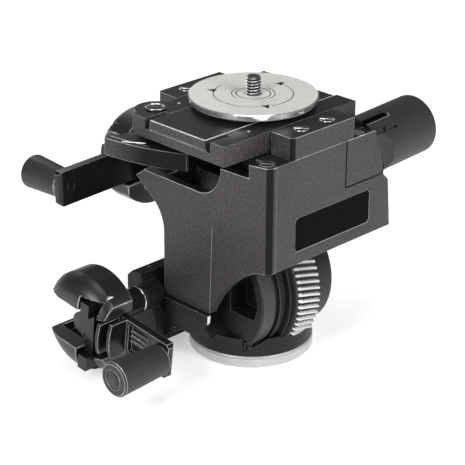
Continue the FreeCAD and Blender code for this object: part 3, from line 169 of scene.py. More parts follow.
def levelShadeGroup():
    # painted shade on faces that look straight up: the normal's Z above a start, soft at its edge
    tree, source, sink = newGroup("levelFace", {"Gain": 6.0, "Start": 0.83, "Share": 0.5}, ["Mask"])
    axis = splitAxes(tree, coordinate(tree, "Normal"))
    above = mathNode(tree, "SUBTRACT", axis["Z"], source.outputs["Start"])
    mask = mathNode(tree, "MULTIPLY", above, source.outputs["Gain"], clamp=True)
    tree.links.new(mathNode(tree, "MULTIPLY", mask, source.outputs["Share"]), sink.inputs["Mask"])
    return tree


groups = {"grain": grainGroup(), "wear": wearGroup(), "rings": turningGroup(), "corner": cornerShadeGroup(),
          "level": levelShadeGroup()}


def useGroup(tree, name, values=None):
    node = addNode(tree, "ShaderNodeGroup")
    node.node_tree = groups[name]
    for key, value in (values or {}).items():
        node.inputs[key].default_value = value
    return node


def colourOver(tree, colour, mask, tone):
    # a Mix node on colours: sockets 0, 6 and 7 are the share and the two colours, output 2 the result
    mix = addNode(tree, "ShaderNodeMix", data_type="RGBA")
    mix.inputs[7].default_value = (*tone, 1)
    tree.links.new(mask, mix.inputs[0])
    tree.links.new(colour, mix.inputs[6])
    return mix.outputs[2]


# tones and roughness of the painted shade on upright corners and on level faces
shadeSettings = {"cornerTone": (0.004, 0.004, 0.004), "cornerRough": 0.5, "paintedLevelShade": (0.003, 0.003, 0.003)}


def finishMaterial(name, s):
    # two tones mixed by grain, then rubbed spots, painted shade on upright corners and on level faces if asked,
    # and a bump
    material = bpy.data.materials.new(name)
    material.use_nodes = True
    tree = material.node_tree
    shader = tree.nodes["Principled BSDF"]
    shader.inputs["Metallic"].default_value = s.get("metallic", 0.0)
    shader.inputs["Specular IOR Level"].default_value = s.get("specular", 0.5)
    grain = useGroup(tree, "grain", {"Grain Scale": s["grainScale"], "Cloud Scale": s["cloudScale"],
                                     "Cloud Share": s["cloudShare"]})
    tone = addNode(tree, "ShaderNodeValToRGB")
    tone.color_ramp.elements[0].position, tone.color_ramp.elements[1].position = s["spread"]
    tone.color_ramp.elements[0].color = (*s["dark"], 1)
    tone.color_ramp.elements[1].color = (*s["light"], 1)
    tree.links.new(grain.outputs["Mask"], tone.inputs["Fac"])
    rough = addNode(tree, "ShaderNodeMapRange", {"To Min": s["rough"][0], "To Max": s["rough"][1]})
    tree.links.new(grain.outputs["Mask"], rough.inputs["Value"])
    colour, roughness = tone.outputs["Color"], rough.outputs["Result"]
    if "rubbed" in s:
        wear = useGroup(tree, "wear", {"Scale": s["wearScale"], "Level": s["wearLevel"]})
        colour = colourOver(tree, colour, wear.outputs["Mask"], s["rubbed"])
    # painted shade: upright rounded corners darker and duller
    if s.get("cornerShade"):
        corner = useGroup(tree, "corner").outputs["Mask"]
        colour = colourOver(tree, colour, corner, shadeSettings["cornerTone"])
        duller = mathNode(tree, "MULTIPLY", corner, shadeSettings["cornerRough"])
        roughness = mathNode(tree, "ADD", roughness, duller, clamp=True)
    # painted shade: faces that look straight up darker
    if "levelShade" in s:
        level = useGroup(tree, "level", {"Share": s["levelShade"]}).outputs["Mask"]
        colour = colourOver(tree, colour, level, shadeSettings["paintedLevelShade"])
    height = grain.outputs["Height"]
    if "rings" in s:
        rings = useGroup(tree, "rings", {"Rings Per Metre": s["rings"]}).outputs["Height"]
        height = mathNode(tree, "ADD", mathNode(tree, "MULTIPLY", height, s["ringGrain"]), rings)
    bump = addNode(tree, "ShaderNodeBump", {"Strength": s["bump"], "Distance": s["bumpDepth"]})
    tree.links.new(height, bump.inputs["Height"])
    tree.links.new(colour, shader.inputs["Base Color"])
    tree.links.new(roughness, shader.inputs["Roughness"])
    tree.links.new(bump.outputs["Normal"], shader.inputs["Normal"])
    return material


steelGrain = {"spread": (0.3, 0.7), "grainScale": 900, "cloudScale": 80, "cloudShare": 0.5}
finishSettings = {
    "darkPaint": {"dark": (0.0125, 0.0115, 0.0112), "light": (0.070, 0.0635, 0.0615), "spread": (0.36, 0.64),
                  "rough": (0.4, 0.52), "grainScale": 1050, "cloudScale": 25, "cloudShare": 0.12,
                  "bump": 0.5, "bumpDepth": 0.00014, "specular": 0.3, "cornerShade": True,
                  "levelShade": 0.75},
    # rounded edges painted light grey: wear, and a painted highlight along each edge; upright corners take the
    # painted shade
    "wearAndHighlightEdge": {"dark": (0.42, 0.42, 0.42), "light": (0.65, 0.65, 0.65), "spread": (0.3, 0.7),
                 "rough": (0.3, 0.42), "grainScale": 900, "cloudScale": 60, "cloudShare": 0.5,
                 "bump": 0.2, "bumpDepth": 0.0001, "rubbed": (0.75, 0.75, 0.74), "wearScale": 160,
                 "wearLevel": 0.5, "cornerShade": True},
    "deepBlack": {"dark": (0.0015, 0.0015, 0.0015), "light": (0.005, 0.005, 0.005), "spread": (0.3, 0.7),
                  "rough": (0.3, 0.42), "grainScale": 1600, "cloudScale": 35, "cloudShare": 0.4,
                  "bump": 0.1, "bumpDepth": 0.00005, "specular": 0.02},
    "glossBlack": {"dark": (0.004, 0.004, 0.004), "light": (0.012, 0.012, 0.012), "spread": (0.3, 0.75),
                   "rough": (0.2, 0.32), "grainScale": 900, "cloudScale": 40, "cloudShare": 0.6,
                   "bump": 0.15, "bumpDepth": 0.00008, "specular": 0.35},
    "matteBlack": {"dark": (0.014, 0.014, 0.0135), "light": (0.034, 0.034, 0.033), "spread": (0.34, 0.66),
                   "rough": (0.42, 0.55), "grainScale": 1000, "cloudScale": 25, "cloudShare": 0.2,
                   "bump": 0.35, "bumpDepth": 0.0001, "specular": 0.35},
    "shellBlack": {"dark": (0.004, 0.004, 0.004), "light": (0.012, 0.012, 0.012), "spread": (0.34, 0.66),
                   "rough": (0.3, 0.4), "grainScale": 1000, "cloudScale": 25, "cloudShare": 0.25,
                   "bump": 0.3, "bumpDepth": 0.0001, "specular": 0.6},
    # the dark paint made darker: painted shade for the parts low under the head
    "paintedShadeBlack": {"dark": (0.005, 0.005, 0.005), "light": (0.016, 0.016, 0.0155), "spread": (0.36, 0.64),
                   "rough": (0.36, 0.48), "grainScale": 900, "cloudScale": 25, "cloudShare": 0.15,
                   "bump": 0.4, "bumpDepth": 0.00012, "specular": 0.22},
    # edges of black parts painted lighter: wear, and a painted highlight along the rims
    "blackEdgeWearAndHighlight": {"dark": (0.1, 0.1, 0.1), "light": (0.3, 0.3, 0.3), "spread": (0.3, 0.7),
                  "rough": (0.25, 0.35), "grainScale": 900, "cloudScale": 60, "cloudShare": 0.5,
                  "bump": 0.15, "bumpDepth": 0.00008, "rubbed": (0.5, 0.5, 0.5), "wearScale": 140,
                  "wearLevel": 0.52},
    "satinAluminium": {"dark": (0.60, 0.59, 0.565), "light": (0.92, 0.91, 0.88), "spread": (0.36, 0.64),
                       "rough": (0.42, 0.55), "grainScale": 1500, "cloudScale": 50, "cloudShare": 0.15,
                       "bump": 0.35, "bumpDepth": 0.0001, "metallic": 0.25, "rings": 9000,
                       "ringGrain": 2.5},
    "turnedAluminium": {"dark": (0.42, 0.415, 0.41), "light": (0.60, 0.595, 0.59), "spread": (0.3, 0.7),
                        "rough": (0.3, 0.42), "grainScale": 700, "cloudScale": 60, "cloudShare": 0.5,
                        "bump": 0.3, "bumpDepth": 0.00006, "metallic": 0.6, "rings": 15000,
                        "ringGrain": 1.0},
    "polishedRim": {"dark": (0.72, 0.72, 0.72), "light": (0.88, 0.88, 0.88), "rough": (0.12, 0.2),
                    "bump": 0.08, "bumpDepth": 0.00004, "metallic": 0.9, **steelGrain},
    "brightSteel": {"dark": (0.45, 0.445, 0.44), "light": (0.66, 0.655, 0.65), "rough": (0.18, 0.3),
                    "bump": 0.12, "bumpDepth": 0.00006, "metallic": 1.0, **steelGrain},
    "oiledSteel": {"dark": (0.02, 0.02, 0.02), "light": (0.07, 0.07, 0.07), "rough": (0.3, 0.42),
                   "bump": 0.2, "bumpDepth": 0.00008, "metallic": 0.6, **steelGrain},
    "threadSteel": {"dark": (0.10, 0.10, 0.10), "light": (0.24, 0.24, 0.24), "rough": (0.2, 0.32),
                    "bump": 0.15, "bumpDepth": 0.00006, "metallic": 0.9, **steelGrain},
    "toothSteel": {"dark": (0.55, 0.545, 0.54), "light": (0.82, 0.815, 0.81), "rough": (0.25, 0.38),
                   "bump": 0.15, "bumpDepth": 0.00006, "metallic": 0.55, **steelGrain},
    # near-black painted shade in grooves, thread roots and tooth roots, and low on the drum's teeth
    "grooveShade": {"dark": (0.01, 0.01, 0.01), "light": (0.04, 0.04, 0.04), "spread": (0.3, 0.7),
                    "rough": (0.4, 0.55), "grainScale": 1200, "cloudScale": 60, "cloudShare": 0.4,
                    "bump": 0.2, "bumpDepth": 0.00006, "specular": 0.3},
    "thinLine": {"dark": (0.2, 0.2, 0.195), "light": (0.34, 0.34, 0.33), "spread": (0.3, 0.7),
                 "rough": (0.4, 0.55), "grainScale": 1000, "cloudScale": 60, "cloudShare": 0.4,
                 "bump": 0.15, "bumpDepth": 0.00005, "specular": 0.4},
    # the drum's paint made lighter on its outer band and its rounded edges: painted light
    "litDrumGrey": {"dark": (0.018, 0.018, 0.018), "light": (0.045, 0.044, 0.044), "spread": (0.36, 0.64),
                 "rough": (0.38, 0.5), "grainScale": 900, "cloudScale": 40, "cloudShare": 0.2,
                 "bump": 0.4, "bumpDepth": 0.00014, "specular": 0.35}}
finish = {name: finishMaterial(name, s) for name, s in finishSettings.items()}

nodeFinish = {
    "darkPaint": ["front_cheek", "rear_cheek", "label_side_housing", "far_side_housing", "rear_plate",
                  "side_worm_housing", "bearing_cap_label_side", "bearing_cap_far_side", "worm_cover",
                  "tilt_frame", "slide_plate", "release_lever"],
    # the turret, bracket, cover and drum in the painted-shade copy of the dark paint
    "paintedShadeBlack": ["turret_housing", "pan_bracket", "train_cover", "tilt_drum"],
    "deepBlack": ["label_plate", "end_knob"],
    "satinAluminium": ["camera_disc"],
    "turnedAluminium": ["base_plate"],
    "brightSteel": ["drum_gear", "front_tilt_gear", "trunnion_pins", "camera_screw", "cover_screw"],
    "oiledSteel": ["pan_gear", "spindle_cap", "tilt_axle", "pan_worm", "side_worm", "front_worm",
                   "pan_crank_shaft", "pan_idler", "idler_pin", "pan_worm_bush", "pan_bush",
                   "side_bush", "pan_hinge_pins", "side_hinge_pins", "corner_screw", "cap_screws",
                   "bracket_screw", "lever_screw"],
    "matteBlack": ["grip_tube", "pan_grip", "side_grip"],
    "shellBlack": ["pan_release_upper", "pan_release_lower", "side_release_upper",
                   "side_release_lower"],
    "glossBlack": ["pan_crank_hub", "side_crank_hub", "pan_crank_arm", "side_crank_arm",
                   "pan_grip_pin", "side_grip_pin"]}
finishOf = {node: finishName for finishName, nodes in nodeFinish.items() for node in nodes}
for node, finishName in finishOf.items():
    mesh = frame["nodes"][node].data
    mesh.materials.clear()
    mesh.materials.append(finish[finishName])
print("materials on the CAD nodes")


# castings and screw heads: the CAD meshes with rounded corners, the roundings mostly in lighter finishes that
# paint wear and a highlight along the edges

def shadeByAngle(mesh, degrees):
    mesh.polygons.foreach_set("use_smooth", np.ones(len(mesh.polygons), dtype=bool))
    mesh.set_sharp_from_angle(angle=math.radians(degrees))


cornerSettings = {"flatAngle": 1.0, "bevelAngle": 35, "smoothAngle": 30, "segments": 2}
cornerWidths = [
    ("wearAndHighlightEdge", {"front_cheek": 0.5, "label_side_housing": 0.4, "far_side_housing": 0.5, "rear_plate": 0.5,
                  "bearing_cap_label_side": 0.5, "bearing_cap_far_side": 0.5, "worm_cover": 0.35,
                  "tilt_frame": 0.5, "slide_plate": 0.5, "turret_housing": 0.6, "pan_bracket": 0.7,
                  "release_lever": 0.5, "rear_cheek": 0.5, "side_worm_housing": 0.5, "train_cover": 0.4}),
    ("blackEdgeWearAndHighlight", {"pan_crank_arm": 0.6, "side_crank_arm": 0.6, "pan_crank_hub": 0.4, "side_crank_hub": 0.4,
                   "pan_release_upper": 0.5, "pan_release_lower": 0.5, "side_release_upper": 0.5,
                   "side_release_lower": 0.5}),
    ("litDrumGrey", {"tilt_drum": 0.3}),
    ("blackEdgeWearAndHighlight", {"pan_grip": 0.3, "side_grip": 0.3, "pan_grip_pin": 0.3, "corner_screw": 0.35}),
    ("polishedRim", {"pan_bush": 0.8, "side_bush": 0.8, "cap_screws": 0.35, "cover_screw": 0.3,
                     "bracket_screw": 0.4, "lever_screw": 0.3})]


def bevelledCopy(node, width, edgeName, s):
    # a CAD node's own mesh, merged and with its corners rounded, the rounding in a finish of its own, mostly a
    # lighter one with wear and a painted highlight
    piece = frame["nodes"][node].copy()
    piece.data = frame["nodes"][node].data.copy()
    words = node.split("_")
    piece.name = words[0] + "".join(word.capitalize() for word in words[1:]) + "Cast"
    bpy.context.scene.collection.objects.link(piece)
    cleaner = bmesh.new()
    cleaner.from_mesh(piece.data)
    bmesh.ops.remove_doubles(cleaner, verts=cleaner.verts, dist=mergeDistance)
    bmesh.ops.dissolve_limit(cleaner, angle_limit=math.radians(s["flatAngle"]), verts=cleaner.verts,
                             edges=cleaner.edges, delimit=set())
    cleaner.to_mesh(piece.data)
    cleaner.free()
    piece.data.materials.clear()
    piece.data.materials.append(finish[finishOf[node]])
    piece.data.materials.append(finish[edgeName])
    bevel = piece.modifiers.new("roundedCorners", "BEVEL")
    bevel.width = width * mm
    bevel.segments = s["segments"]
    bevel.limit_method = "ANGLE"
    bevel.angle_limit = math.radians(s["bevelAngle"])
    bevel.material = 1  # the edge's finish
    bevel.use_clamp_overlap = "_release_" not in node  # the shells' narrow rims keep their full rounding
    shadeByAngle(piece.data, s["smoothAngle"])
    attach(piece, bodyOf[node])
    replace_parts(piece, node)


for edgeName, widths in cornerWidths:
    for node, width in widths.items():
        bevelledCopy(node, width, edgeName, cornerSettings)
    print("rounded, edges in", edgeName + ":", len(widths))


# surfaces worked out on grids

def surfacePiece(name, body, grids, finishName, smoothAngle=30):
    # each grid of points (rows, columns, 3) in millimetres becomes a sheet of quads, then doubles are merged
    corners, faces, used = [], [], 0
    for grid in grids:
        rows, columns = grid.shape[:2]
        index = np.arange(rows * columns).reshape(rows, columns) + used
        quads = np.stack([index[:-1, :-1], index[:-1, 1:], index[1:, 1:], index[1:, :-1]], axis=-1)
        corners.append(grid.reshape(-1, 3) * mm)
        faces.append(quads.reshape(-1, 4))
        used += rows * columns
    mesh = bpy.data.meshes.new(name)
    mesh.from_pydata(np.concatenate(corners), [], np.concatenate(faces))
    cleaner = bmesh.new()
    cleaner.from_mesh(mesh)
    bmesh.ops.remove_doubles(cleaner, verts=cleaner.verts, dist=mergeDistance)
    bmesh.ops.recalc_face_normals(cleaner, faces=cleaner.faces)
    cleaner.to_mesh(mesh)
    cleaner.free()
    mesh.materials.append(finish[finishName])
    shadeByAngle(mesh, smoothAngle)
    piece = bpy.data.objects.new(name, mesh)
    bpy.context.scene.collection.objects.link(piece)
    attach(piece, body)
    return piece


def paintWhere(piece, finishName, rule):
    # the rule gets all face centres and normals, in millimetres, and answers which faces take the finish
    mesh = piece.data
    centres, normals = np.empty(len(mesh.polygons) * 3), np.empty(len(mesh.polygons) * 3)
    mesh.polygons.foreach_get("center", centres)
    mesh.polygons.foreach_get("normal", normals)
    chosen = rule(centres.reshape(-1, 3) / mm, normals.reshape(-1, 3))
    mesh.materials.append(finish[finishName])
    slots = np.zeros(len(mesh.polygons), dtype=np.int32)
    mesh.polygons.foreach_get("material_index", slots)
    slots[chosen] = len(mesh.materials) - 1
    mesh.polygons.foreach_set("material_index", slots)


def placed(grid, origin, alongX, alongY):
    # local x, y, z of a grid laid along two given axes and their cross product
    axes = np.array([alongX, alongY, np.cross(alongX, alongY)], dtype=float)
    return grid @ axes + np.array(origin, dtype=float)


def turnedGrid(profile, columns):
    # profile rows (height, radius) swept round local z; the last column repeats the first
    turn = np.linspace(0, 2 * np.pi, columns + 1)
    height, radius = np.array(profile, dtype=float).T
    return np.stack([radius[:, None] * np.cos(turn), radius[:, None] * np.sin(turn),
                     np.repeat(height[:, None], columns + 1, axis=1)], axis=-1)


def hoopGrid(path, thickness, columns=8):
    # a round bead of the given thickness carried along a path of points that lies in the local xy plane
    along = np.gradient(path, axis=0)
    along /= np.linalg.norm(along, axis=1)[:, None]
    side = np.stack([along[:, 1], -along[:, 0], np.zeros(len(path))], axis=-1)
    turn = np.linspace(0, 2 * np.pi, columns + 1)
    return (path[:, None] + thickness / 2 * (np.cos(turn)[None, :, None] * side[:, None]
                                             + np.sin(turn)[None, :, None] * np.array([0, 0, 1.0])))


def roundedPath(left, right, low, high, corner, steps=8):
    # a closed rectangle with quarter circles at its corners, in the local xy plane
    quarter = np.linspace(0, np.pi / 2, steps)
    middles = [(right - corner, high - corner), (left + corner, high - corner),
               (left + corner, low + corner), (right - corner, low + corner)]
    arcs = [np.stack([x + corner * np.cos(quarter + k * np.pi / 2),
                      y + corner * np.sin(quarter + k * np.pi / 2), 0 * quarter], axis=-1)
            for k, (x, y) in enumerate(middles)]
    return np.concatenate(arcs + [arcs[0][:1]])


def rodGrid(start, end, radius, columns=14):
    # a straight rod with softly rounded ends between two points
    start, end = np.array(start, dtype=float), np.array(end, dtype=float)
    length = np.linalg.norm(end - start)
    axis = (end - start) / length
    steep = abs(axis[2]) > 0.9
    side = np.array([1.0, 0, 0]) if steep else np.cross(axis, [0, 0, 1.0])
    side /= np.linalg.norm(side)
    soft = min(0.35 * radius, 0.2 * length)  # the ends' rounding
    profile = [(0, 0), (0, radius - soft), (soft, radius), (length - soft, radius), (length, radius - soft),
               (length, 0)]
    return placed(turnedGrid(profile, columns), start, side, np.cross(axis, side))


def slottedHead(s):
    # a low screw head on local z: a plinth, and two half moons whose rounded rims leave the slot between
    radius, height, half = s["radius"], s["height"], s["slot"] / 2
    chamfer, floor = s["chamfer"] * radius, (1 - s["slotDepth"]) * height
    grids = [turnedGrid([(0, 0), (0, radius), (floor, radius), (floor, 0)], s["columns"])]
    sweep = np.linspace(-1, 1, s["columns"] + 1) * np.arccos(half / radius)
    rim = np.stack([radius * np.cos(sweep), radius * np.sin(sweep)], axis=-1)
    inner = np.stack([np.maximum(half, (radius - chamfer) * np.cos(sweep)),
                      (radius - chamfer) * np.sin(sweep)], axis=-1)
    flat = np.stack([np.full_like(sweep, half), inner[:, 1]], axis=-1)
    rows = [(flat, floor), (rim, floor), (rim, height - 0.6 * chamfer), (inner, height), (flat, height),
            (flat, floor)]
    moon = np.stack([np.column_stack([points, np.full(len(points), level)]) for points, level in rows])
    for angle in (s["slotTurn"], s["slotTurn"] + np.pi):
        spin = np.array([[np.cos(angle), np.sin(angle), 0], [-np.sin(angle), np.cos(angle), 0], [0, 0, 1]])
        grids.append(moon @ spin)
    return grids


def fromAxis(points, axes=(0, 1), middle=(0, 0)):
    # distance of points from a line along the third axis
    return np.hypot(points[:, axes[0]] - middle[0], points[:, axes[1]] - middle[1])


bandSettings = {"left": -30.9, "right": -20.0, "centreZ": 46, "inner": 30, "sideways": 0.5}


def drumBand(s):
    # painted light: a lighter band on the drum's outer wall between two upright planes, where light falls on
    # it; the rest of the drum keeps the painted shade
    def onBand(points, normals):
        return ((points[:, 0] > s["left"]) & (points[:, 0] < s["right"])
                & (np.abs(normals[:, 0]) < s["sideways"])
                & (fromAxis(points, (1, 2), (0, s["centreZ"])) > s["inner"]))

    paintWhere(bpy.data.objects["tiltDrumCast"], "litDrumGrey", onBand)


drumBand(bandSettings)


# the camera screw and its disc

threadSettings = {"headBottom": 155.6, "headTop": 159.6, "headRadius": 8.5, "headChamfer": 0.5,
                  "shankRadius": 5.4, "threadStart": 169.2, "top": 180.5, "major": 4.76, "core": 3.5,
                  "pitch": 1.9, "flankSlope": 2.6, "rootWidth": 0.15, "chamfer": 1.0, "columns": 64,
                  "rowsPerTurn": 12, "crestBand": 0.4, "rootBand": 0.6, "plainEnd": 1.2}


def threadedScrew(s):
    # turned head and shank, then a thread: its radius is a triangle wave of height less turn times pitch
    rows = int(round((s["top"] - s["threadStart"]) / s["pitch"] * s["rowsPerTurn"]))
    turn = np.linspace(0, 2 * np.pi, s["columns"] + 1)
    height = np.linspace(s["threadStart"], s["top"], rows)[:, None]
    phase = (height / s["pitch"] - turn[None, :] / (2 * np.pi)) % 1
    wave = np.clip(np.abs(phase - 0.5) * s["flankSlope"] - s["rootWidth"], 0, 1)
    radius = s["core"] + (s["major"] - s["core"]) * wave
    radius = np.minimum(radius, s["major"] - (height - s["top"] + s["chamfer"]))
    thread = np.stack([radius * np.cos(turn), radius * np.sin(turn), height + 0 * radius], axis=-1)
    below = turnedGrid([(s["headBottom"], 0), (s["headBottom"], s["headRadius"] - s["headChamfer"]),
                        (s["headBottom"] + s["headChamfer"], s["headRadius"]), (s["headTop"], s["headRadius"]),
                        (s["headTop"], s["shankRadius"]), (s["threadStart"], s["shankRadius"])], s["columns"])
    above = turnedGrid([(s["top"], 0)], s["columns"])
    screw = surfacePiece("cameraScrew", "camera_screw", [np.concatenate([below, thread, above])],
                         "threadSteel", 40)

    def onCrest(points, normals):
        return (fromAxis(points) > s["major"] - s["crestBand"]) & (points[:, 2] > s["threadStart"])

    def inRoot(points, normals):
        return ((fromAxis(points) < s["major"] - s["rootBand"]) & (points[:, 2] > s["threadStart"])
                & (points[:, 2] < s["top"] - s["plainEnd"]))

    paintWhere(screw, "polishedRim", onCrest)
    # painted shade in the thread's roots
    paintWhere(screw, "grooveShade", inRoot)
    return screw


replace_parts(threadedScrew(threadSettings), "camera_screw")

# rings are (start, end, step) of the face's radii, the wall (drop, inset), the grooves (radius, from, to)
discSettings = {"bottom": 165.0, "top": 169.2, "radius": 40.0, "bore": 5.6, "columns": 240,
                "rings": [(5.6, 9.9, 0.6), (9.9, 14.2, 0.12), (14.4, 23.6, 1.0), (23.8, 25.4, 0.12),
                          (26.0, 39.1, 1.0)],
                "faceEdge": 39.4, "wall": [(0.5, 0), (1.9, 0), (2.2, 0.45), (3.2, 0.45)], "footInset": 1.4,
                "grooves": [(10.6, -180, 180), (13.3, 93, 174), (13.3, -89, 0), (24.6, 98, 176),
                            (24.6, -180, -123), (24.6, -109, 0)],
                "grooveWidth": 0.55, "grooveDepth": 0.4, "grooveBed": 1.25, "rimStart": 39.2, "shadeTop": 0.06,
                "shadeFloor": 1, "shadeReach": 30, "shadeFacing": 0.05}


def cameraDisc(s):
    # a turned plate; on its top the height drops by a smooth notch near each groove's radius and arc
    radii = np.concatenate([np.arange(*ring) for ring in s["rings"]] + [[s["faceEdge"]]])[:, None]
    turn = np.linspace(-np.pi, np.pi, s["columns"] + 1)[None, :]
    level = np.full((len(radii), s["columns"] + 1), s["top"])
    for place, start, end in s["grooves"]:
        inArc = (turn >= np.radians(start) - 1e-6) & (turn <= np.radians(end) + 1e-6)
        notch = np.clip(s["grooveBed"] - np.abs(radii - place) / (s["grooveWidth"] / 2), 0, 1)
        level = level - s["grooveDepth"] * notch * inArc
    face = np.stack([radii * np.cos(turn), radii * np.sin(turn), level], axis=-1)
    wall = [(s["top"] - drop, s["radius"] - inset) for drop, inset in s["wall"]]
    wall += [(s["bottom"], s["radius"] - s["footInset"]), (s["bottom"], s["bore"]), (s["top"], s["bore"])]
    height, radius = np.array(wall).T[:, :, None]
    rest = np.stack([radius * np.cos(turn), radius * np.sin(turn), height + 0 * turn], axis=-1)
    disc = surfacePiece("cameraDisc", "slide", [np.concatenate([face, rest])], "satinAluminium",
                        25)

    def onRim(points, normals):
        return fromAxis(points) > s["rimStart"]

    def inGroove(points, normals):
        return ((points[:, 2] < s["top"] - s["shadeTop"]) & (points[:, 2] > s["top"] - s["shadeFloor"])
                & (fromAxis(points) < s["shadeReach"]) & (normals[:, 2] > s["shadeFacing"]))

    paintWhere(disc, "polishedRim", onRim)
    # painted shade in the grooves of the top face
    paintWhere(disc, "grooveShade", inGroove)
    return disc


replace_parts(cameraDisc(discSettings), "camera_disc")

# places are (turn, radius) on the disc, the outline's corners and reaches one arrowhead's own
arrowSettings = {"places": [(124, 25.2), (2, 24.6), (-117, 24.6)], "size": 6.5,
                 "corners": [0, 130, 180, 230, 360], "reaches": [1.2, 1.0, 0.35, 1.0, 1.2],
                 "face": 169.2, "sunk": 0.2, "proud": 0.12}


def discMarks(s):
    # small raised arrowheads: an outline drawn in to its middle, above and below, laid at a turn and a radius
    grids = []
    for turn, radius in s["places"]:
        corner = np.radians(turn) + np.radians(s["corners"])
        reach = s["size"] / 2 * np.array(s["reaches"])
        outline = np.column_stack([reach * np.cos(corner), reach * np.sin(corner), 0 * corner])
        middle = np.array([radius * np.cos(np.radians(turn)), radius * np.sin(np.radians(turn)), s["face"]])
        low, high = middle - [0, 0, s["sunk"]], middle + [0, 0, s["proud"]]
        grids.append(np.stack([0 * outline + low, outline + low, outline + high, 0 * outline + high]))
    surfacePiece("discMarks", "slide", grids, "deepBlack", 20)


discMarks(arrowSettings)
print("camera screw and disc made")


# the tilt drum's teeth

toothSettings = {"left": -9.0, "right": 10.0, "centreZ": 46.0, "pitchRadius": 49.2, "addendum": 1.2,
                 "dedendum": 1.5, "bore": 41.02, "start": 35.0, "end": 215.0, "toothTurn": 5.0,
                 "slant": 14.0, "throat": 0.5, "shoulder": -6.0, "shoulderDepth": 0.8, "flank": 1.6,
                 "crest": 0.1, "perTooth": 12, "widthSteps": 20, "floor": 20.25, "lowTurn": -0.05,
                 "rimThickness": 0.4, "endMiddle": 3, "rootBand": 0.75, "shadeHeight": 10, "shadeFrom": -36}


def drumTeeth(s):
    # a ring sector whose outer radius is a flattened wave of the turn, sheared along x by the slant;
    # low down the radius is cut back to a level floor
    turns = np.linspace(s["start"], s["end"], int((s["end"] - s["start"]) / s["toothTurn"] * s["perTooth"]) + 1)
    turn = np.radians(turns)[:, None]
    along = np.linspace(s["left"], s["right"], s["widthSteps"])[None, :]
    middle = (s["left"] + s["right"]) / 2
    shear = math.tan(math.radians(s["slant"])) * (along - middle) / s["pitchRadius"]
    wave = np.sin((turn - shear) * 2 * np.pi / np.radians(s["toothTurn"]))
    tooth = np.where(along < s["shoulder"], -s["shoulderDepth"], np.clip(wave * s["flank"] + s["crest"], -1, 1))
    hollow = s["throat"] * (1 - ((along - middle) / (s["right"] - middle)) ** 2)
    outer = s["pitchRadius"] + np.where(tooth > 0, s["addendum"], s["dedendum"]) * tooth - hollow
    toFloor = (s["floor"] - s["centreZ"]) / np.minimum(np.sin(turn), -1e-3)
    cutBack = np.maximum(np.minimum(outer, toFloor), s["bore"] + s["rimThickness"])
    outer = np.where(np.sin(turn) < s["lowTurn"], cutBack, outer)
    bore = np.full_like(turn, s["bore"])
    radius = np.concatenate([outer, bore, bore, outer[:, :1]], axis=1)
    x = np.concatenate([along, [[s["right"], s["left"], s["left"]]]], axis=1) + 0 * radius
    sector = np.stack([x, radius * np.cos(turn), s["centreZ"] + radius * np.sin(turn)], axis=-1)
    endTurn, endRadius = turn[[0, -1]], s["bore"] + s["endMiddle"]
    ends = np.stack([middle + 0 * endTurn, endRadius * np.cos(endTurn),
                     s["centreZ"] + endRadius * np.sin(endTurn)], axis=-1)
    ends = np.repeat(ends, sector.shape[1], axis=1)
    teeth = surfacePiece("drumTeeth", "turret", [np.concatenate([ends[:1], sector, ends[1:]])], "toothSteel",
                         28)

    def inShade(points, normals):
        return ((fromAxis(points, (1, 2), (0, s["centreZ"])) < s["pitchRadius"] - s["rootBand"])
                | ((points[:, 2] < s["floor"] + s["shadeHeight"]) & (points[:, 1] > s["shadeFrom"])))

    # painted shade in the tooth roots and on the sector's low end under the drum
    paintWhere(teeth, "grooveShade", inShade)
    return teeth


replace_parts(drumTeeth(toothSettings), "drum_gear")
print("drum teeth cut")


# small bright parts and lines

labelSettings = {"left": -22.3, "right": 45.0, "low": 88.0, "high": 110.2, "corner": 3.0, "face": -57.95,
                 "line": 0.35}


def labelOutline(s):
    # a thin bead round the label's place, along a rectangle with quarter-circle corners
    path = roundedPath(s["left"], s["right"], s["low"], s["high"], s["corner"])
    grid = placed(hoopGrid(path, s["line"]), (0, s["face"] + s["line"] / 2, 0), (1, 0, 0), (0, 0, 1))
    surfacePiece("labelOutline", "tilt_body", [grid], "thinLine", 60)


labelOutline(labelSettings)

pinSettings = {"places": [(-31.2, 33.2, 162.0), (-35.2, -30.9, 162.0)], "radius": 1.5, "sunk": 1.5,
               "proud": 0.2}


def framePins(s):
    # short upright rods sunk in the frame's top
    for number, (x, y, z) in enumerate(s["places"]):
        grid = rodGrid((x, y, z - s["sunk"]), (x, y, z + s["proud"]), s["radius"])
        surfacePiece("framePin" + str(number), "platform", [grid], "polishedRim")


framePins(pinSettings)

rodSettings = {
    "lowPin": {"body": "release_lever", "start": (-71.6, 40.7, 145.5), "end": (-63.4, 28.1, 145.5),
               "radius": 0.5, "columns": 14, "finish": "brightSteel", "slot": "steel"},
    "cheekSeam": {"body": "tilt_body", "start": (-44.55, -9.7, 96.0), "end": (-44.55, -7.6, 37.4),
                  "radius": 0.175, "columns": 8, "finish": "thinLine", "slot": "dark_paint"}}
for name, s in rodSettings.items():
    surfacePiece(name, s["body"], [rodGrid(s["start"], s["end"], s["radius"], s["columns"])], s["finish"])

indexSettings = {"left": -47.8, "right": -45.3, "low": 30.4, "high": 36.2, "start": 34.8, "centre": 7.0,
                 "radius": 16.0, "proud": 0.02, "rows": 12}


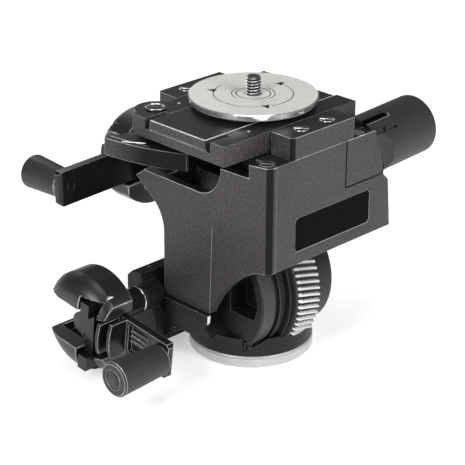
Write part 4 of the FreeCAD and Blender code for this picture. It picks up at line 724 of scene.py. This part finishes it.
def indexMark(s):
    # a thin plate on the bracket's nose: y is the centre's less the root of the radius squared less the
    # drop below the start squared, and straight above the start
    z = np.linspace(s["low"], s["high"], s["rows"])
    y = s["centre"] - np.sqrt(s["radius"] ** 2 - np.minimum(z - s["start"], 0) ** 2)
    sides = np.array([s["left"], s["right"], s["right"], s["left"], s["left"]])
    depths = np.array([-1, -1, 1, 1, -1]) * s["proud"]
    grid = np.stack(np.broadcast_arrays(sides, y[:, None] + depths, z[:, None]), axis=-1)
    ends = np.repeat(grid[:, :4].mean(axis=1, keepdims=True), len(sides), axis=1)
    surfacePiece("indexMark", "turret", [np.concatenate([ends[:1], grid, ends[-1:]])], "satinAluminium",
                 20)


indexMark(indexSettings)

coverSettings = {"outline": [(21.9, 148.0), (21.9, 117.4), (56.8, 117.4), (48.0, 148.0)], "face": -58.0,
                 "gap": 1.1, "sunk": 0.3, "columns": 10}


def coverSeam(s):
    # a dark round bead, mostly sunk, along the cover's left, lower and right edges
    corners = [(x, s["face"] + s["gap"] / 2 - s["sunk"], z) for x, z in s["outline"]]
    grids = [rodGrid(start, end, s["gap"] / 2, s["columns"]) for start, end in zip(corners, corners[1:])]
    surfacePiece("coverSeam", "tilt_body", grids, "deepBlack", 60)


coverSeam(coverSettings)


def seatOn(node, place):
    # the nearest point of a CAD node's surface and the way out of it there
    surface = bmesh.new()
    surface.from_mesh(frame["nodes"][node].data)
    point, normal = BVHTree.FromBMesh(surface).find_nearest(Vector(place) * mm)[:2]
    surface.free()
    return np.array(point) / mm, np.array(normal)


# each crank's shaft end, the way out along its shaft, and the arm's way with its lean below level
crankFrames = {"pan": {"origin": (-59.0, 40.2, 36.0), "along": (-1, 0, 0), "level": (0, -1, 0), "lean": 6.5},
               "side": {"origin": (0, 60.0, 101.7), "along": (0, 1, 0), "level": (-1, 0, 0), "lean": 1.5}}
screwSettings = {"place": (44.7, 19.6, 23.6), "radius": 3.0, "height": 1.7, "slot": 0.9, "slotTurn": 0.6,
                 "slotDepth": 0.55, "chamfer": 0.18, "columns": 40, "sunk": 0.4,
                 "finish": {"pan": "polishedRim", "side": "oiledSteel"}}


def shellScrews(s):
    # a slotted head on each upper shell, square to the dome where it sits
    for crank, axes in crankFrames.items():
        shell = crank + "_release_upper"
        lean = math.radians(axes["lean"])
        across = math.cos(lean) * np.array(axes["level"]) - [0, 0, math.sin(lean)]
        middle, out = seatOn(shell, placed(np.array(s["place"]), axes["origin"], axes["along"], across))
        side = np.cross(out, axes["along"])
        side /= np.linalg.norm(side)
        grids = [placed(grid, middle - out * s["sunk"], side, np.cross(out, side)) for grid in slottedHead(s)]
        surfacePiece(crank + "ShellScrew", bodyOf[shell], grids, s["finish"][crank], 30)


shellScrews(screwSettings)

capSettings = {"arm": "side_crank_arm", "pin": "side_grip_pin", "radius": 3.3, "height": 0.12, "bevel": 0.3,
               "columns": 40}


def armPinCap(s):
    # a flat turned cap over the grip pin's end on the far crank's arm
    low, high = (np.array(corner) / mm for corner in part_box(s["pin"]))
    middle = np.array([(low[0] + high[0]) / 2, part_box(s["arm"])[0].y / mm, (low[2] + high[2]) / 2])
    profile = [(0, 0), (0, s["radius"]), (s["height"], s["radius"] - s["bevel"]), (s["height"], 0)]
    grid = placed(turnedGrid(profile, s["columns"]), middle, (1, 0, 0), (0, 0, 1))
    surfacePiece("armPinCap", "side_crank", [grid], "glossBlack", 60)


armPinCap(capSettings)

# rake is (height, x) of the housing's end; a cut is a run along the wall at a turn, round at both ends
tubeSettings = {"start": (1.5, -44.0, 130.4), "incline": 2.6, "radius": 19.1, "length": 101.6, "rim": 2.5,
                "rimSteps": 7, "mouthRadius": 16.2, "mouthDepth": 12.0, "innerRadius": 5.0, "innerEnd": 62.0,
                "startRadius": 13.0, "columns": 300, "rows": 100,
                "rake": [(40.0, 65.3), (107.0, 62.3), (112.0, 57.0), (148.0, 48.0), (170.0, 48.0)],
                "rakeLift": 3.0, "rakeGap": 0.1, "flatSide": 13.95, "flatLength": 9.0, "deepest": 2.0,
                "wallMargin": 0.1, "bedMargin": 0.5, "lipWidth": 0.7, "lipMargin": 0.3,
                "cuts": {
                    "slot": {"from": 42.1, "to": 65.9, "turn": 16.0, "half": 2.1, "depth": 2.0, "steep": 2},
                    "line": {"from": 44.0, "to": 66.0, "turn": 48.5, "half": 0.35, "depth": 0.5, "steep": 4},
                    "hole": {"from": 66.0, "to": 66.0, "turn": 48.5, "half": 1.0, "depth": 1.0, "steep": 3}}}


def arcFrom(cut, turn, radius):
    # the way round the wall from a cut's middle, in millimetres
    return radius * ((turn - np.radians(cut["turn"]) + np.pi) % (2 * np.pi) - np.pi)


def outsideCut(cut, along, turn, radius):
    # distance from a cut's edge on the unrolled wall, below nought inside it
    return np.hypot(along - np.clip(along, cut["from"], cut["to"]), arcFrom(cut, turn, radius)) - cut["half"]


def gripTube(s):
    # rings round the slanted axis, each column starting at the housing's raked end and turned in at the
    # rim; the wall is flattened near the housing, and each cut lowers the radius
    slant = math.radians(s["incline"])
    axis = np.array([math.cos(slant), 0, math.sin(slant)])
    upward = np.array([-math.sin(slant), 0, math.cos(slant)])
    turn = np.linspace(0, 2 * np.pi, s["columns"] + 1)[None, :]
    rakeHeight, rakeX = np.array(s["rake"]).T
    height = s["start"][2] + s["radius"] * np.cos(turn) + s["rakeLift"]
    low = np.interp(height, rakeHeight, rakeX) - s["start"][0] + s["rakeGap"]
    wallEnd = s["length"] - s["rim"]
    share = np.linspace(0, 1, s["rows"])[:, None]
    bend = np.linspace(0, np.pi / 2, s["rimSteps"])[1:, None]
    along = np.concatenate([low, low + (wallEnd - low) * share, wallEnd + s["rim"] * np.sin(bend) + 0 * turn])
    radius = np.concatenate([s["startRadius"] + 0 * turn, s["radius"] + 0 * share * turn,
                             s["radius"] - s["rim"] * (1 - np.cos(bend)) + 0 * turn])
    sunk = sum(cut["depth"] * np.clip(-outsideCut(cut, along, turn, s["radius"]) * cut["steep"], 0, 1)
               for cut in s["cuts"].values())
    ease = np.clip((along - low) / s["flatLength"], 0, 1) ** 2
    side = s["flatSide"] + (s["radius"] - s["flatSide"]) * ease
    radius = np.minimum(radius, side / np.maximum(np.sin(turn), 0.05))
    radius = radius - np.minimum(sunk, s["deepest"]) * (radius > s["radius"] - s["wallMargin"])
    inner = [(s["length"], s["mouthRadius"]), (s["length"] - s["mouthDepth"], s["mouthRadius"]),
             (s["length"] - s["mouthDepth"], s["innerRadius"]), (s["innerEnd"], s["innerRadius"])]
    innerAlong, innerRadius = np.array(inner).T[:, :, None] + 0 * turn
    along = np.concatenate([along, innerAlong, low])
    radius = np.concatenate([radius, innerRadius, s["startRadius"] + 0 * turn])
    points = (np.array(s["start"]) + along[..., None] * axis
              + (radius * np.cos(turn))[..., None] * upward + (radius * np.sin(turn))[..., None] * [0, -1.0, 0])
    tube = surfacePiece("gripTube", "tilt_body", [points], "matteBlack", 30)

    def unrolled(centres):
        local = centres - np.array(s["start"])
        up, side = local @ upward, -local[:, 1]
        return local @ axis, np.arctan2(side, up), np.hypot(up, side)

    def inCut(centres, normals):
        reach, turnHere, wall = unrolled(centres)
        nearest = np.min([outsideCut(cut, reach, turnHere, s["radius"]) for cut in s["cuts"].values()], axis=0)
        return (nearest < 0) & (wall > s["mouthRadius"] + s["bedMargin"])

    def onLip(centres, normals):
        reach, turnHere, wall = unrolled(centres)
        edge = outsideCut(s["cuts"]["slot"], reach, turnHere, s["radius"])
        upper = arcFrom(s["cuts"]["slot"], turnHere, s["radius"]) > 0
        return (edge > 0) & (edge < s["lipWidth"]) & upper & (wall > s["radius"] - s["lipMargin"])

    # the cuts painted near-black: painted shade in the slot and the hole, and the dark parting line
    paintWhere(tube, "deepBlack", inCut)
    paintWhere(tube, "thinLine", onLip)
    return tube


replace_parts(gripTube(tubeSettings), "grip_tube")

housingSettings = {"places": [(-42.4, 55.2, 50.0), (-43.4, 49.0, 50.0)], "radius": 1.6, "sunk": 1.5,
                   "proud": 0.3}


def housingPins(s):
    # short rods square to the left-hand housing's bevelled top
    for number, place in enumerate(s["places"]):
        middle, out = seatOn("turret_housing", place)
        grid = rodGrid(middle - s["sunk"] * out, middle + s["proud"] * out, s["radius"])
        surfacePiece("housingPin" + str(number), "turret", [grid], "brightSteel")


housingPins(housingSettings)
print("small parts made")


# camera, floor and lights

cameraSettings = {"azimuth": -44.999, "elevation": 24.164, "roll": 0.337, "distance": 1092.374,
                  "aimRight": -12.221, "aimUp": -8.002, "aimHeight": 84.591, "lens": 134.09, "clipEnd": 20}


def setCamera(s):
    azimuth, elevation, roll = (math.radians(s[key]) for key in ("azimuth", "elevation", "roll"))
    back = Vector((math.sin(azimuth) * math.cos(elevation), -math.cos(azimuth) * math.cos(elevation),
                   math.sin(elevation)))
    right = Vector((math.cos(azimuth), math.sin(azimuth), 0))
    up = back.cross(right)
    aim = Vector((0, 0, s["aimHeight"])) + right * s["aimRight"] + up * s["aimUp"]
    camera = bpy.data.objects.new("camera", bpy.data.cameras.new("camera"))
    bpy.context.scene.collection.objects.link(camera)
    camera.data.lens, camera.data.clip_end = s["lens"], s["clipEnd"]
    turned = Matrix((right * math.cos(roll) + up * math.sin(roll),
                     up * math.cos(roll) - right * math.sin(roll), back)).transposed()
    camera.matrix_world = Matrix.Translation((aim + back * s["distance"]) * mm) @ turned.to_4x4()
    bpy.context.scene.camera = camera


setCamera(cameraSettings)

lampAim = Vector((0, 0, 0.08))
lightSettings = {
    "softTop": {"place": (-0.1, -0.1, 1.6), "size": 1.0, "power": 5},
    "keyLeft": {"place": (-1.35, -0.15, 0.85), "size": 0.8, "power": 16},
    "fillFront": {"place": (0.1, -1.45, 0.75), "size": 0.9, "power": 16},
    "rimBack": {"place": (0.6, 1.5, 0.9), "size": 0.7, "power": 4}}


def addLights(settings):
    for name, s in settings.items():
        light = bpy.data.lights.new(name, "AREA")
        light.shape, light.size, light.energy = "DISK", s["size"], s["power"]
        lamp = bpy.data.objects.new(name, light)
        bpy.context.scene.collection.objects.link(lamp)
        lamp.location = s["place"]
        lamp.rotation_euler = (lampAim - lamp.location).to_track_quat("-Z", "Y").to_euler()


addLights(lightSettings)

floorSettings = {"reach": 6.0, "gap": 0.0002, "colour": (0.9, 0.9, 0.9, 1), "rough": 0.9, "glow": 0.45}


def addFloor(s):
    reach, level = s["reach"], cadBox[0].z - s["gap"]
    mesh = bpy.data.meshes.new("floor")
    mesh.from_pydata([(-reach, -reach, level), (reach, -reach, level), (reach, reach, level),
                      (-reach, reach, level)], [], [(0, 1, 2, 3)])
    floor = bpy.data.objects.new("floor", mesh)
    bpy.context.scene.collection.objects.link(floor)
    material = bpy.data.materials.new("paleFloor")
    material.use_nodes = True
    shader = material.node_tree.nodes["Principled BSDF"]
    shader.inputs["Base Color"].default_value = s["colour"]
    shader.inputs["Roughness"].default_value = s["rough"]
    shader.inputs["Emission Color"].default_value = (1, 1, 1, 1)
    shader.inputs["Emission Strength"].default_value = s["glow"]
    mesh.materials.append(material)


addFloor(floorSettings)

worldSettings = {"light": 0.22, "backdrop": 1.0}


def addWorld(s):
    # a soft white world for the part, and a brighter one behind it
    world = bpy.data.worlds.new("studio")
    world.use_nodes = True
    tree = world.node_tree
    tree.nodes["Background"].inputs["Color"].default_value = (1, 1, 1, 1)
    strength = addNode(tree, "ShaderNodeMapRange", {"To Min": s["light"], "To Max": s["backdrop"]})
    tree.links.new(addNode(tree, "ShaderNodeLightPath").outputs["Is Camera Ray"], strength.inputs["Value"])
    tree.links.new(strength.outputs["Result"], tree.nodes["Background"].inputs["Strength"])
    bpy.context.scene.world = world


addWorld(worldSettings)
bpy.context.scene.view_settings.view_transform = "Standard"
print("stage ready")
